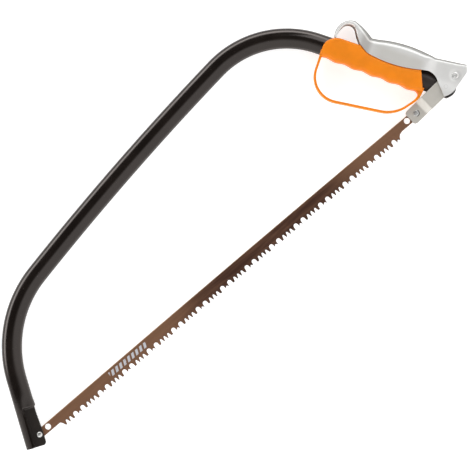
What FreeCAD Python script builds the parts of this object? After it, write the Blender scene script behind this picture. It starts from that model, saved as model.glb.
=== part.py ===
import FreeCAD, Part
import math
import os

# Bow saw with a 24-inch (607 mm hole to hole) blade, lying flat on its side, in millimetres.
# The model is drawn in a "saw frame": the blade's front hole is at x = 0, its rear hole is at
# x = BLADE_HOLES, the bow is towards +Y and the teeth face -Y.  The handle end is drawn in a
# "handle frame": u runs from the tube's end up the handle, v runs towards the fingers, and its
# origin is the lever pivot.  main() moves everything so that the origin is the bottom centre.

# ---------------------------------------------------------------- blade
BLADE_HOLES = 607.0
BLADE_THICK = 0.9
BLADE_HOLE_R = 3.7
BLADE_HOLE_Y = 0.6
BLADE_BACK_Y = 5.7
BLADE_BACK_RISE = 1.1
BLADE_NECK_Y = -5.3
BLADE_END_R = 7.0
SPARE_HOLE_PITCH = 14.5
TOOTH_TIP_Y = -12.5
RAKER_TIP_Y = -11.7
RAKER_HALF = 2.0
RAKER_NOTCH = 1.7
TEETH_FRONT_X = 34.0
TEETH_REAR_GAP = 36.0
TOOTH_GROUP = 39.43
RAKER_OFFSET = 22.4
PEGS = 4
PEG_PITCH = 5.8
GULLET_R = 2.9
GULLET_TOP_Y = -6.1
PEG_GULLET_R = 1.1
PEG_GULLET_TOP_Y = -7.2
GULLET_FLARE = 0.2
RAKER_WAIST = 0.8

# ---------------------------------------------------------------- oval steel tube
TUBE_WIDTH = 25.0
TUBE_DEPTH = 15.0
TUBE_END_R = 5.0
TUBE_WALL = 1.5
NOSE_ANGLE = 66.0
BACK_FRONT_ANGLE = 11.0
BACK_REAR_ANGLE = 6.0
HANDLE_ANGLE = -59.4
NOSE_BEND_R = 142.0
BACK_BOW_SHARE = 0.97
HANDLE_BEND_R = 120.0
NOSE_LENGTH = 161.0
NOSE_PIN_UP = 13.8
NOSE_PIN_TO_SIDE = 4.4
NOSE_PIN_ACROSS = TUBE_WIDTH / 2 - NOSE_PIN_TO_SIDE
NOSE_PRESS_LENGTH = 49.0
NOSE_CREASE = 1.9
NOSE_SPREAD = 0.5
NOSE_SLOT_PLAY = 0.2
NOSE_SLOT = BLADE_THICK + 2 * NOSE_SLOT_PLAY
NOSE_SLOT_LENGTH = 40.0
NOSE_CORNER_R = 4.0
NOSE_SETBACK = 1.5
NOSE_TAPER_END = 10.0

# ---------------------------------------------------------------- tension linkage
LEVER_PIVOT_FROM_REAR_HOLE = 47.8
LEVER_PIVOT_Y = 1.75
LINK_PIVOT_UP_HANDLE = -6.15
LINK_PIVOT_OFF_TUBE = 4.2
SLEEVE_R = 3.5
SLEEVE_END_PLAY = 0.2
PIVOT_RIVET_R = 2.4
LINK_RIVET_R = 2.6
LINK_RIVET_RIM = 1.6
LINK_RIVET_BORE_R = 1.5
LINK_SPACER_WALL = 1.1
REAR_PIN_R = 3.6
FRONT_PIN_R = 2.0
PIN_HEAD_R = 3.35
PIN_HEAD = 1.0
FRONT_PIN_OFFSET = (0.55, -0.75)
RUNNING_FIT = 0.05
SIDE_PLAY = 0.3
LINK_SHEET = 1.5
LINK_HALF_WIDTH = 9.9
LINK_FOLD_START = 47.4
LINK_FOLD_LENGTH = 9.6
LINK_TAIL = 10.3
LINK_CORNER_R = 4.0
BLADE_SIDE_PLAY = 0.15
PLUG_PROUD = 0.7
PLUG_R = TUBE_WIDTH / 2 + PLUG_PROUD
PLUG_START = -6.0
PLUG_SPIGOT = 20.0
PLUG_FIT = 0.1

# ---------------------------------------------------------------- tension lever (pressed channel)
LEVER_SHEET = 1.5
LEVER_STEP = 1.4
LEVER_TO_GRIP = 0.5

# ---------------------------------------------------------------- moulded grip and knuckle guard
GRIP_PROUD = 0.8
GRIP_BACK_WALL = 1.7
GRIP_FINGER_WALL = 3.9
GRIP_REAR_LEAN = 10.3
GRIP_REAR_DROP = 1.4
GRIP_FRONT_DROP = 3.0
GRIP_PLAY_UNDER_LEVER = 0.4
FINGER_PITCH = 23.6
FINGER_WAVE = 0.8
FINGER_FIRST_RIDGE = 43.0
FINGER_RIDGES = 5
FINGER_LINE_REAR = TUBE_WIDTH / 2 + GRIP_FINGER_WALL
FINGER_LINE_SLOPE = -0.024
GUARD_THICK = 2.8
GUARD_HALF_DEPTH = 8.0

# ---------------------------------------------------------------- places worked out from the sizes
FRONT_HOLE = (0.0, BLADE_HOLE_Y)
REAR_HOLE = (BLADE_HOLES, BLADE_HOLE_Y)
LEVER_PIVOT = (BLADE_HOLES + LEVER_PIVOT_FROM_REAR_HOLE, LEVER_PIVOT_Y)
FRONT_PIN = (FRONT_HOLE[0] + FRONT_PIN_OFFSET[0], FRONT_HOLE[1] + FRONT_PIN_OFFSET[1])
LINK_INNER_Z = TUBE_DEPTH / 2 + SIDE_PLAY
LINK_OUTER_Z = LINK_INNER_Z + LINK_SHEET
LEVER_POCKET_Z = LINK_OUTER_Z + SIDE_PLAY
LEVER_INNER_Z = LEVER_POCKET_Z + LEVER_STEP
LEVER_HALF_DEPTH = LEVER_INNER_Z + LEVER_SHEET
GRIP_HALF_DEPTH = LEVER_HALF_DEPTH + GRIP_PROUD
BLADE_CHEEK_Z = BLADE_THICK / 2 + BLADE_SIDE_PLAY
NOSE_WALL_Z = NOSE_SLOT / 2 + TUBE_WALL


def vec(point, z=0.0):
    return FreeCAD.Vector(point[0], point[1], z)


def polar(angle):
    return (math.cos(math.radians(angle)), math.sin(math.radians(angle)))


def along(point, angle, distance):
    direction = polar(angle)
    return (point[0] + direction[0] * distance, point[1] + direction[1] * distance)


def link_pivot():
    """The link turns on the lever just off the tube's bow side, a little past the tube's end."""
    handle_line = 180.0 + HANDLE_ANGLE
    up = along(LEVER_PIVOT, handle_line, LINK_PIVOT_UP_HANDLE)
    return along(up, handle_line + 90.0, -TUBE_WIDTH / 2 - LINK_PIVOT_OFF_TUBE)


LINK_PIVOT = link_pivot()


def crossing(p, angle_p, q, angle_q):
    """Point where the line through p at angle_p meets the line through q at angle_q."""
    a = polar(angle_p)
    b = polar(angle_q)
    across = a[0] * b[1] - a[1] * b[0]
    t = ((q[0] - p[0]) * b[1] - (q[1] - p[1]) * b[0]) / across
    return (p[0] + a[0] * t, p[1] + a[1] * t)


def rounded_path(points, radii):
    """Straight and arc pieces of a path through points, with each inner corner rounded."""
    pieces = []
    start = points[0]
    for i in range(1, len(points) - 1):
        corner = points[i]
        angle_in = math.degrees(math.atan2(corner[1] - points[i - 1][1], corner[0] - points[i - 1][0]))
        angle_out = math.degrees(math.atan2(points[i + 1][1] - corner[1], points[i + 1][0] - corner[0]))
        turn = (angle_out - angle_in + 180.0) % 360.0 - 180.0
        radius = radii[i - 1]
        cut = radius * math.tan(math.radians(abs(turn)) / 2)
        begin = along(corner, angle_in, -cut)
        side = 90.0 if turn > 0 else -90.0
        centre = along(begin, angle_in + side, radius)
        pieces.append(("line", start, begin))
        pieces.append(("arc", begin, angle_in, centre, turn))
        start = along(corner, angle_out, cut)
    pieces.append(("line", start, points[-1]))
    return pieces


def section_at(face, point, angle):
    """Section drawn as (left of the path, up, along the path), set at a point of the path."""
    ahead = polar(angle)
    left = polar(angle + 90.0)
    matrix = FreeCAD.Matrix(
        left[0], 0.0, ahead[0], point[0],
        left[1], 0.0, ahead[1], point[1],
        0.0, 1.0, 0.0, 0.0,
        0.0, 0.0, 0.0, 1.0)
    copy = face.copy()
    copy.Placement = FreeCAD.Placement(matrix).multiply(copy.Placement)
    return copy


def carried(face, pieces):
    """Solid made by carrying a section along straight and arc pieces, one solid per piece, fused."""
    solids = []
    for piece in pieces:
        if piece[0] == "line":
            run = vec(piece[2]) - vec(piece[1])
            angle = math.degrees(math.atan2(run.y, run.x))
            solids.append(section_at(face, piece[1], angle).extrude(run))
        else:
            axis = FreeCAD.Vector(0, 0, 1 if piece[4] > 0 else -1)
            start = section_at(face, piece[1], piece[2])
            solids.append(start.revolve(vec(piece[3]), axis, abs(piece[4])))
    whole = solids[0].multiFuse(solids[1:])
    return whole.removeSplitter()


def oval_face(inset):
    """Oval of four tangent arcs, as the tube's outside or, with an inset, inside it."""
    half_width = TUBE_WIDTH / 2
    half_depth = TUBE_DEPTH / 2
    span = half_width - TUBE_END_R
    side_r = (span ** 2 + half_depth ** 2 - TUBE_END_R ** 2) / (2 * (half_depth - TUBE_END_R))
    meet = math.atan2(side_r - half_depth, span)
    end_r = TUBE_END_R - inset
    join = (span + end_r * math.cos(meet), end_r * math.sin(meet))
    wide = half_width - inset
    deep = half_depth - inset
    return Part.Face(outline([
        (join[0], -join[1]),
        ((wide, 0.0), join),
        ((0.0, deep), (-join[0], join[1])),
        ((-wide, 0.0), (-join[0], -join[1])),
        ((0.0, -deep), (join[0], -join[1])),
    ]))


def rectangle_face(width, depth):
    x = width / 2
    y = depth / 2
    corners = [(-x, -y), (x, -y), (x, y), (-x, y)]
    wire = Part.makePolygon([vec(c) for c in corners + corners[:1]])
    return Part.Face(wire)


def outline(parts):
    """Closed wire from a list of points; a pair (middle, end) in the list is an arc through middle."""
    edges = []
    last = parts[0]
    for item in parts[1:] + parts[:1]:
        if isinstance(item[0], tuple):
            edges.append(Part.Arc(vec(last), vec(item[0]), vec(item[1])).toShape())
            last = item[1]
        elif math.dist(last, item) > 1e-6:
            edges.append(Part.LineSegment(vec(last), vec(item)).toShape())
            last = item
    return Part.Wire(edges)


def plate(parts, low, high):
    face = Part.Face(outline(parts))
    face.translate(FreeCAD.Vector(0, 0, low))
    return face.extrude(FreeCAD.Vector(0, 0, high - low))


def both_sides(shape):
    """The shape and its mirror image in the saw's middle plane."""
    return [shape, shape.mirror(FreeCAD.Vector(0, 0, 0), FreeCAD.Vector(0, 0, 1))]


def cylinder(radius, point, low, high):
    return Part.makeCylinder(radius, high - low, vec(point, low))


def box(low_corner, high_corner, low, high):
    return Part.makeBox(high_corner[0] - low_corner[0], high_corner[1] - low_corner[1], high - low,
                        vec(low_corner, low))


def at_handle(shape):
    """Handle frame (u, v) to saw frame."""
    turn = FreeCAD.Rotation(FreeCAD.Vector(0, 0, 1), 180.0 + HANDLE_ANGLE)
    copy = shape.copy()
    copy.Placement = FreeCAD.Placement(vec(LEVER_PIVOT), turn).multiply(copy.Placement)
    return copy


def at_nose(shape):
    """Nose frame (up the tube from its front end, out towards the bow's outside) to saw frame."""
    turn = FreeCAD.Rotation(FreeCAD.Vector(0, 0, 1), NOSE_ANGLE)
    copy = shape.copy()
    copy.Placement = FreeCAD.Placement(vec(nose_end()), turn).multiply(copy.Placement)
    return copy


def at_link(shape):
    """Link frame (from the link pivot towards the blade pin, and to its left) to saw frame."""
    turn = FreeCAD.Rotation(FreeCAD.Vector(0, 0, 1), link_angle())
    copy = shape.copy()
    copy.Placement = FreeCAD.Placement(vec(LINK_PIVOT), turn).multiply(copy.Placement)
    return copy


def link_angle():
    return math.degrees(math.atan2(REAR_HOLE[1] - LINK_PIVOT[1], REAR_HOLE[0] - LINK_PIVOT[0]))


def link_length():
    return math.dist(LINK_PIVOT, REAR_HOLE)


def nose_end():
    """Centre of the tube's front end: the front pin sits inside the tube's centre line."""
    foot = along(FRONT_PIN, NOSE_ANGLE + 90.0, NOSE_PIN_ACROSS)
    return along(foot, NOSE_ANGLE, -NOSE_PIN_UP)


def tube_path():
    """Centre line: nose, long back with a slight bow, and handle leg to just past the lever pivot."""
    front = nose_end()
    front_corner = along(front, NOSE_ANGLE, NOSE_LENGTH)
    handle_line = 180.0 + HANDLE_ANGLE
    mean_angle = (BACK_FRONT_ANGLE + BACK_REAR_ANGLE) / 2
    rear_corner = crossing(front_corner, mean_angle, LEVER_PIVOT, handle_line)
    middle = crossing(front_corner, BACK_FRONT_ANGLE, rear_corner, BACK_REAR_ANGLE)
    tube_end = along(LEVER_PIVOT, handle_line, PLUG_START)
    nose_cut = NOSE_BEND_R * math.tan(math.radians(NOSE_ANGLE - BACK_FRONT_ANGLE) / 2)
    handle_cut = HANDLE_BEND_R * math.tan(math.radians(BACK_REAR_ANGLE - HANDLE_ANGLE) / 2)
    free = min(math.dist(front_corner, middle) - nose_cut, math.dist(middle, rear_corner) - handle_cut)
    bow_r = BACK_BOW_SHARE * free / math.tan(math.radians(BACK_FRONT_ANGLE - BACK_REAR_ANGLE) / 2)
    points = [front, front_corner, middle, rear_corner, tube_end]
    return rounded_path(points, [NOSE_BEND_R, bow_r, HANDLE_BEND_R])


def tube_hull():
    return carried(oval_face(0.0), tube_path())


# ---------------------------------------------------------------- frame pieces
def frame_tube():
    """Oval tube whose front end is pressed flat on its inner half and sawn to take the blade."""
    hull = tube_hull()
    bore = carried(oval_face(TUBE_WALL), tube_path())
    tube = hull.cut(bore)
    half = TUBE_WIDTH / 2 + 1.0
    deep = TUBE_DEPTH
    press_end = NOSE_PRESS_LENGTH
    crease_end = NOSE_CREASE + TUBE_WALL
    pressed = box((-1.0, -half), (press_end, NOSE_CREASE), -deep, deep)
    crease = box((0.0, NOSE_CREASE), (press_end, crease_end), -deep, deep)
    shoulder = box((press_end, -half), (press_end + TUBE_WALL, half), -deep, deep).cut(shoulder_way())
    slot = box((-1.0, -half), (NOSE_SLOT_LENGTH, crease_end), -NOSE_SLOT / 2, NOSE_SLOT / 2)
    tube = tube.cut(at_nose(pressed))
    closed = [hull.common(at_nose(crease)), hull.common(at_nose(shoulder)), at_nose(pressed_walls())]
    tube = tube.multiFuse(closed).cut(at_nose(slot))
    tube = tube.cut(cylinder(FRONT_PIN_R, FRONT_PIN, -TUBE_DEPTH, TUBE_DEPTH))
    tube = tube.cut(cylinder(SLEEVE_R, LEVER_PIVOT, -TUBE_DEPTH, TUBE_DEPTH))
    return tube.removeSplitter()


def shoulder_way():
    """Outer half of the tube's bore stays open past the shoulder of the pressed nose."""
    return box((0.0, NOSE_CREASE + TUBE_WALL), (2 * NOSE_PRESS_LENGTH, TUBE_WIDTH / 2 - TUBE_WALL),
               -TUBE_DEPTH / 2 + 2 * TUBE_WALL, TUBE_DEPTH / 2 - 2 * TUBE_WALL)


def pressed_walls():
    """The flattened inner half: a plate as wide as the tube, with a rounded front corner."""
    inner = -TUBE_WIDTH / 2 - NOSE_SPREAD
    step = inner + NOSE_SETBACK
    corner = (NOSE_CORNER_R * (1 - math.sqrt(0.5)), inner + NOSE_CORNER_R * (1 - math.sqrt(0.5)))
    points = [
        (0.0, NOSE_CREASE + TUBE_WALL / 2),
        (0.0, inner + NOSE_CORNER_R),
        (corner, (NOSE_CORNER_R, inner)),
        (NOSE_PIN_UP + NOSE_CORNER_R, inner),
        (NOSE_PRESS_LENGTH - NOSE_TAPER_END, step),
        (NOSE_PRESS_LENGTH + TUBE_WALL / 2, step),
        (NOSE_PRESS_LENGTH + TUBE_WALL / 2, NOSE_CREASE + TUBE_WALL / 2),
    ]
    return plate(points, -NOSE_WALL_Z, NOSE_WALL_Z)


def front_blade_pin():
    """Rivet across the slotted nose; the blade's front hole drops over its shank."""
    shank = cylinder(FRONT_PIN_R, FRONT_PIN, -NOSE_WALL_Z - PIN_HEAD, NOSE_WALL_Z + PIN_HEAD)
    head = cylinder(PIN_HEAD_R, FRONT_PIN, NOSE_WALL_Z, NOSE_WALL_Z + PIN_HEAD)
    return shank.multiFuse(both_sides(head)).removeSplitter()


def tube_end_plug():
    """Moulded plug: a round cap outside the tube's end and a spigot in its bore."""
    reach = PLUG_R + 1.0
    cap = cylinder(PLUG_R, (0.0, 0.0), -TUBE_DEPTH / 2, TUBE_DEPTH / 2)
    cap = cap.common(box((-reach, -reach), (PLUG_START, reach), -TUBE_DEPTH, TUBE_DEPTH))
    section = oval_face(TUBE_WALL + PLUG_FIT)
    spigot = carried(section, [("line", (PLUG_START, 0.0), (PLUG_START + PLUG_SPIGOT, 0.0))])
    plug = cap.fuse(spigot).cut(cylinder(SLEEVE_R, (0.0, 0.0), -TUBE_DEPTH, TUBE_DEPTH))
    return at_handle(plug.removeSplitter())


def pivot_sleeve():
    """Steel tube through the handle end, which the lever's plates and the link's stop run on."""
    reach = LEVER_INNER_Z - SLEEVE_END_PLAY
    outside = cylinder(SLEEVE_R, LEVER_PIVOT, -reach, reach)
    return outside.cut(cylinder(PIVOT_RIVET_R, LEVER_PIVOT, -reach, reach))


def lever_rivet():
    """Plain rivet, dressed flush with the lever's sides."""
    return cylinder(PIVOT_RIVET_R, LEVER_PIVOT, -LEVER_HALF_DEPTH, LEVER_HALF_DEPTH)


# ---------------------------------------------------------------- grip and guard, in the handle frame
def finger_line(u):
    return FINGER_LINE_REAR + FINGER_LINE_SLOPE * (u - FINGER_FIRST_RIDGE)


def finger_wave():
    """Finger side of the grip: ridges and hollows as arcs that meet in one smooth line."""
    quarter = FINGER_PITCH / 4
    first = FINGER_FIRST_RIDGE - quarter
    parts = [(first, finger_line(first))]
    for i in range(2 * FINGER_RIDGES):
        rise = FINGER_WAVE if i % 2 == 0 else -FINGER_WAVE
        top = first + (2 * i + 1) * quarter
        end = first + (2 * i + 2) * quarter
        parts.append(((top, finger_line(top) + rise), (end, finger_line(end))))
    return parts


def off_tube(u, gap):
    """Point at u that is a gap away from the tube's outer side, on the lever's side of the handle."""
    return (u, -TUBE_WIDTH / 2 - gap)


def lever_edge(gap):
    """Edge of the lever that lies on the grip's side, moved towards the fingers by gap."""
    return [
        (34.9, -9.9 + gap),
        ((72.0, -4.9 + gap), (104.4, -8.0 + gap)),
        off_tube(115.8, 2.5 - gap),
    ]


def grip_hand_outline():
    back = -TUBE_WIDTH / 2 - GRIP_BACK_WALL
    rear = 34.9
    return finger_wave() + [
        (158.2, finger_line(158.2) - GRIP_FRONT_DROP),
        (158.0, -1.2),
        ((151.0, back + 4.0), (138.5, back)),
        (115.8, back),
    ] + list(reversed_edge(lever_edge(LEVER_TO_GRIP))) + [
        (rear - GRIP_REAR_LEAN, FINGER_LINE_REAR - GRIP_REAR_DROP),
    ]


def reversed_edge(parts):
    """The same run of straights and arcs walked the other way."""
    ends = [item[1] if isinstance(item[0], tuple) else item for item in parts]
    back = [ends[-1]]
    for i in range(len(parts) - 1, 0, -1):
        if isinstance(parts[i][0], tuple):
            back.append((parts[i][0], ends[i - 1]))
        else:
            back.append(ends[i - 1])
    return back


def grip_under_lever():
    back = -TUBE_WIDTH / 2 - GRIP_BACK_WALL
    points = [(34.0, -8.0), (37.0, back), (120.0, back), (120.0, -2.0), (34.0, -2.0)]
    half = LEVER_INNER_Z - GRIP_PLAY_UNDER_LEVER
    return plate(points, -half, half)


def guard_strip():
    """Thin moulded strip round the knuckles, from the grip's front end to its rear end."""
    points = [(156.8, 5.6), (156.4, 65.3), (47.7, 51.6), (26.7, 24.0), (26.2, 10.0)]
    path = rounded_path(points, [31.0, 42.0, 21.0])
    return carried(rectangle_face(GUARD_THICK, 2 * GUARD_HALF_DEPTH), path)


def handle_grip():
    hand = plate(grip_hand_outline(), -GRIP_HALF_DEPTH, GRIP_HALF_DEPTH)
    grip = hand.multiFuse([grip_under_lever(), guard_strip()])
    return at_handle(grip).cut(tube_hull()).removeSplitter()


# ---------------------------------------------------------------- lever, in the handle frame
def lever_outline():
    """Side of the pressed lever: finger hook, channel over the handle and lobe at the pivot."""
    back_edge = [
        off_tube(148.3, 1.0),
        (off_tube(145.9, 18.9), off_tube(130.4, 27.4)),
        (off_tube(114.4, 20.9), off_tube(104.3, 14.5)),
        off_tube(94.3, 16.1),
        (off_tube(58.4, 20.5), off_tube(23.1, 16.8)),
        off_tube(-15.3, 21.4),
        off_tube(-18.9, 12.3),
        (-12.3, -2.4),
        ((-9.6, 4.4), (-1.8, 12.0)),
        (12.6, -4.3),
        ((17.7, -8.8), (26.4, -11.3)),
    ]
    inner_edge = [
        off_tube(122.2, 10.0),
        off_tube(126.3, 16.6),
        (off_tube(134.9, 21.3), off_tube(142.8, 15.8)),
        (off_tube(145.4, 8.5), off_tube(145.7, 0.9)),
    ]
    return back_edge + lever_edge(0.0) + inner_edge


def lever_web():
    """Back of the channel: a strip that follows the lever's outer edge."""
    points = [
        off_tube(147.5, 1.0),
        off_tube(147.8, 27.0),
        off_tube(122.3, 26.2),
        off_tube(104.9, 13.3),
        off_tube(62.0, 20.9),
        off_tube(23.0, 15.9),
        off_tube(-15.3, 20.6),
    ]
    path = rounded_path(points, [14.0, 12.0, 6.0, 180.0, 30.0])
    return carried(rectangle_face(LEVER_SHEET, 2 * LEVER_HALF_DEPTH), path)


def lever_pocket():
    """Rear of each side, pressed inwards round the link's pivot."""
    return [
        off_tube(25.0, 15.5),
        off_tube(-15.0, 20.5),
        off_tube(-18.3, 12.1),
        (-12.9, -7.0),
        (6.0, -8.0),
        (24.0, -12.5),
    ]


def tension_lever():
    outer = plate(lever_outline(), LEVER_INNER_Z, LEVER_HALF_DEPTH)
    recess = plate(lever_pocket(), LEVER_INNER_Z - 1.0, LEVER_HALF_DEPTH + 1.0)
    pocket = plate(lever_pocket(), LEVER_POCKET_Z, LEVER_INNER_Z + 0.1)
    lever = at_handle(lever_web().multiFuse(both_sides(outer.cut(recess)) + both_sides(pocket)))
    lever = lever.cut(cylinder(PIVOT_RIVET_R + RUNNING_FIT, LEVER_PIVOT, -TUBE_DEPTH, TUBE_DEPTH))
    return lever.cut(cylinder(LINK_RIVET_R, LINK_PIVOT, -TUBE_DEPTH, TUBE_DEPTH))


def link_rivet():
    """Tubular rivet through the lever's pressed-in sides and the link."""
    reach = LEVER_POCKET_Z + LEVER_SHEET
    shank = cylinder(LINK_RIVET_R, LINK_PIVOT, -reach - PIN_HEAD, reach + PIN_HEAD)
    head = cylinder(LINK_RIVET_R + LINK_RIVET_RIM, LINK_PIVOT, reach, reach + PIN_HEAD)
    bore = cylinder(LINK_RIVET_BORE_R, LINK_PIVOT, -reach - 2 * PIN_HEAD, reach + 2 * PIN_HEAD)
    return shank.multiFuse(both_sides(head)).cut(bore).removeSplitter()


# ---------------------------------------------------------------- link, in the link frame
def link_strip():
    """One cheek before trimming: beside the tube at the pivot, then folded in beside the blade."""
    length = link_length() + LINK_TAIL
    start = -LINK_HALF_WIDTH
    fold_end = LINK_FOLD_START + LINK_FOLD_LENGTH
    slope = math.atan2(LINK_INNER_Z - BLADE_CHEEK_Z, LINK_FOLD_LENGTH)
    lag = LINK_SHEET * math.tan(slope / 2)
    side = [
        (start, LINK_INNER_Z),
        (LINK_FOLD_START, LINK_INNER_Z),
        (fold_end, BLADE_CHEEK_Z),
        (length, BLADE_CHEEK_Z),
        (length, BLADE_CHEEK_Z + LINK_SHEET),
        (fold_end + lag, BLADE_CHEEK_Z + LINK_SHEET),
        (LINK_FOLD_START + lag, LINK_OUTER_Z),
        (start, LINK_OUTER_Z),
    ]
    wire = Part.makePolygon([FreeCAD.Vector(p[0], -LINK_HALF_WIDTH, p[1]) for p in side + side[:1]])
    return Part.Face(wire).extrude(FreeCAD.Vector(0, 2 * LINK_HALF_WIDTH, 0))


def link_outline():
    """Round end at the lever, straight sides and rounded corners at the blade."""
    half = LINK_HALF_WIDTH
    length = link_length() + LINK_TAIL
    cut = LINK_CORNER_R * (1 - math.sqrt(0.5))
    return [
        (0.0, -half),
        (length - LINK_CORNER_R, -half),
        ((length - cut, -half + cut), (length, -half + LINK_CORNER_R)),
        (length, half - LINK_CORNER_R),
        ((length - cut, half - cut), (length - LINK_CORNER_R, half)),
        (0.0, half),
        ((-half, 0.0), (0.0, -half)),
    ]


def sleeve_notch():
    """Curved notch, centred on the link's pivot, that lets the lever's sleeve leave the link."""
    away = math.dist(LEVER_PIVOT, LINK_PIVOT)
    half = SLEEVE_R + SIDE_PLAY
    seat = lever_pivot_in_link()
    ring = cylinder(away + half, (0.0, 0.0), -TUBE_DEPTH, TUBE_DEPTH)
    ring = ring.cut(cylinder(away - half, (0.0, 0.0), -TUBE_DEPTH, TUBE_DEPTH))
    sweep = [(0.0, 0.0), along((0.0, 0.0), seat, 3 * away), along((0.0, 0.0), seat - 80.0, 3 * away)]
    ring = ring.common(plate(sweep, -TUBE_DEPTH, TUBE_DEPTH))
    return ring.fuse(cylinder(half, along((0.0, 0.0), seat, away), -TUBE_DEPTH, TUBE_DEPTH))


def lever_pivot_in_link():
    """Direction of the lever's pivot from the link's pivot, in the link frame, in degrees."""
    world = math.degrees(math.atan2(LEVER_PIVOT[1] - LINK_PIVOT[1], LEVER_PIVOT[0] - LINK_PIVOT[0]))
    return world - link_angle()


def link_cheek():
    trim = plate(link_outline(), 0.0, TUBE_DEPTH)
    cheek = link_strip().common(trim).cut(sleeve_notch())
    cheek = cheek.cut(cylinder(LINK_RIVET_R + RUNNING_FIT, (0.0, 0.0), 0.0, TUBE_DEPTH))
    cheek = cheek.cut(cylinder(REAR_PIN_R - RUNNING_FIT, (link_length(), 0.0), 0.0, TUBE_DEPTH))
    return at_link(cheek.removeSplitter())


def right_link_cheek():
    return link_cheek()


def left_link_cheek():
    return both_sides(link_cheek())[1]


def link_spacer():
    """Bush round the rivet that holds the link's two cheeks apart."""
    outside = cylinder(LINK_RIVET_R + LINK_SPACER_WALL, LINK_PIVOT, -LINK_INNER_Z, LINK_INNER_Z)
    return outside.cut(cylinder(LINK_RIVET_R + RUNNING_FIT, LINK_PIVOT, -LINK_INNER_Z, LINK_INNER_Z))


def rear_blade_pin():
    """Flush rivet through both cheeks; the blade's rear hole turns on it."""
    reach = BLADE_CHEEK_Z + LINK_SHEET
    return cylinder(REAR_PIN_R - RUNNING_FIT, REAR_HOLE, -reach, reach)


# ---------------------------------------------------------------- blade, in the saw frame
def blade_body():
    """Blank with a slightly bowed back, round ends, and a neck without teeth at each end."""
    left = FRONT_HOLE[0]
    right = REAR_HOLE[0]
    middle = (left + right) / 2
    low = BLADE_NECK_Y
    teeth_start = TEETH_FRONT_X
    teeth_end = BLADE_HOLES - TEETH_REAR_GAP
    slope = 3.0
    return [
        (left, low),
        (teeth_start - slope - 2.0, low),
        ((teeth_start - slope, low - 1.0), (teeth_start - 1.5, TOOTH_TIP_Y + 1.0)),
        (teeth_start, TOOTH_TIP_Y),
        (teeth_end, TOOTH_TIP_Y),
        (teeth_end + 1.2, TOOTH_TIP_Y + 1.6),
        ((teeth_end + slope, low - 1.6), (teeth_end + 3 * slope, low)),
        (right, low),
        ((right + BLADE_END_R, BLADE_HOLE_Y), (right, BLADE_BACK_Y)),
        ((middle, BLADE_BACK_Y + BLADE_BACK_RISE), (left, BLADE_BACK_Y)),
        ((left - BLADE_END_R, BLADE_HOLE_Y), (left, low)),
    ]


def round_gullet(x, top_y, radius, mouth):
    """Tooth space: a round root that opens to the given half width at the tooth tips."""
    centre_y = top_y - radius
    low = TOOTH_TIP_Y - 1.0
    return [
        (x - mouth, low),
        (x - radius, centre_y),
        ((x, top_y), (x + radius, centre_y)),
        (x + mouth, low),
    ]


def raker_cut(x):
    """Space under a raker: it is lower than the pegs and has a notch between its two points."""
    low = TOOTH_TIP_Y - 1.0
    return [
        (x - RAKER_HALF - 1.6, low),
        (x - RAKER_HALF, RAKER_TIP_Y),
        (x - 0.5, RAKER_TIP_Y + RAKER_NOTCH),
        (x + 0.5, RAKER_TIP_Y + RAKER_NOTCH),
        (x + RAKER_HALF, RAKER_TIP_Y),
        (x + RAKER_HALF + 1.6, low),
    ]


def tooth_spaces():
    """Every space along the cutting edge: groups of pegs between rakers with deep round gullets."""
    spaces = []
    last = BLADE_HOLES - TEETH_REAR_GAP
    raker = TEETH_FRONT_X + RAKER_OFFSET
    deep = RAKER_HALF + GULLET_R + RAKER_WAIST
    while raker < last:
        spaces.append(raker_cut(raker))
        spaces.append(round_gullet(raker - deep, GULLET_TOP_Y, GULLET_R, GULLET_R + GULLET_FLARE))
        if raker + deep + GULLET_R < last:
            spaces.append(round_gullet(raker + deep, GULLET_TOP_Y, GULLET_R, GULLET_R + GULLET_FLARE))
        first = raker + TOOTH_GROUP / 2 - (PEGS / 2 - 1) * PEG_PITCH
        for i in range(PEGS - 1):
            x = first + i * PEG_PITCH
            if x < last:
                spaces.append(round_gullet(x, PEG_GULLET_TOP_Y, PEG_GULLET_R, PEG_PITCH / 2 - GULLET_FLARE))
        raker += TOOTH_GROUP
    for i in range(2):
        x = TEETH_FRONT_X + (i + 0.5) * PEG_PITCH
        spaces.append(round_gullet(x, PEG_GULLET_TOP_Y, PEG_GULLET_R, PEG_PITCH / 2 - GULLET_FLARE))
    return spaces


def saw_blade():
    half = BLADE_THICK / 2
    blade = plate(blade_body(), -half, half)
    cuts = [plate(space, -half, half) for space in tooth_spaces()]
    for x in (0.0, SPARE_HOLE_PITCH, BLADE_HOLES - SPARE_HOLE_PITCH):
        cuts.append(cylinder(BLADE_HOLE_R, (x, BLADE_HOLE_Y), -half, half))
    cuts.append(cylinder(REAR_PIN_R, REAR_HOLE, -half, half))
    return blade.cut(Part.makeCompound(cuts)).removeSplitter()


PIECES = {
    "frame_tube": frame_tube,
    "front_blade_pin": front_blade_pin,
    "tube_end_plug": tube_end_plug,
    "pivot_sleeve": pivot_sleeve,
    "lever_rivet": lever_rivet,
    "handle_grip": handle_grip,
    "tension_lever": tension_lever,
    "link_rivet": link_rivet,
    "right_link_cheek": right_link_cheek,
    "left_link_cheek": left_link_cheek,
    "link_spacer": link_spacer,
    "rear_blade_pin": rear_blade_pin,
    "saw_blade": saw_blade,
}


def row_shift(shapes):
    """Move that puts the origin at the bottom centre of the whole saw's box."""
    box_all = FreeCAD.BoundBox()
    for shape in shapes.values():
        box_all.add(shape.optimalBoundingBox())
    return FreeCAD.Vector(-box_all.Center.x, -box_all.Center.y, -box_all.ZMin)


def main():
    os.makedirs("parts", exist_ok=True)
    shapes = {name: make() for name, make in PIECES.items()}
    shift = row_shift(shapes)
    for name, shape in shapes.items():
        shape.translate(shift)
        shape.exportStep("parts/" + name + ".step")
        print(name, shape.isValid(), len(shape.Solids), round(shape.Volume))
    return shapes, shift


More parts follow.
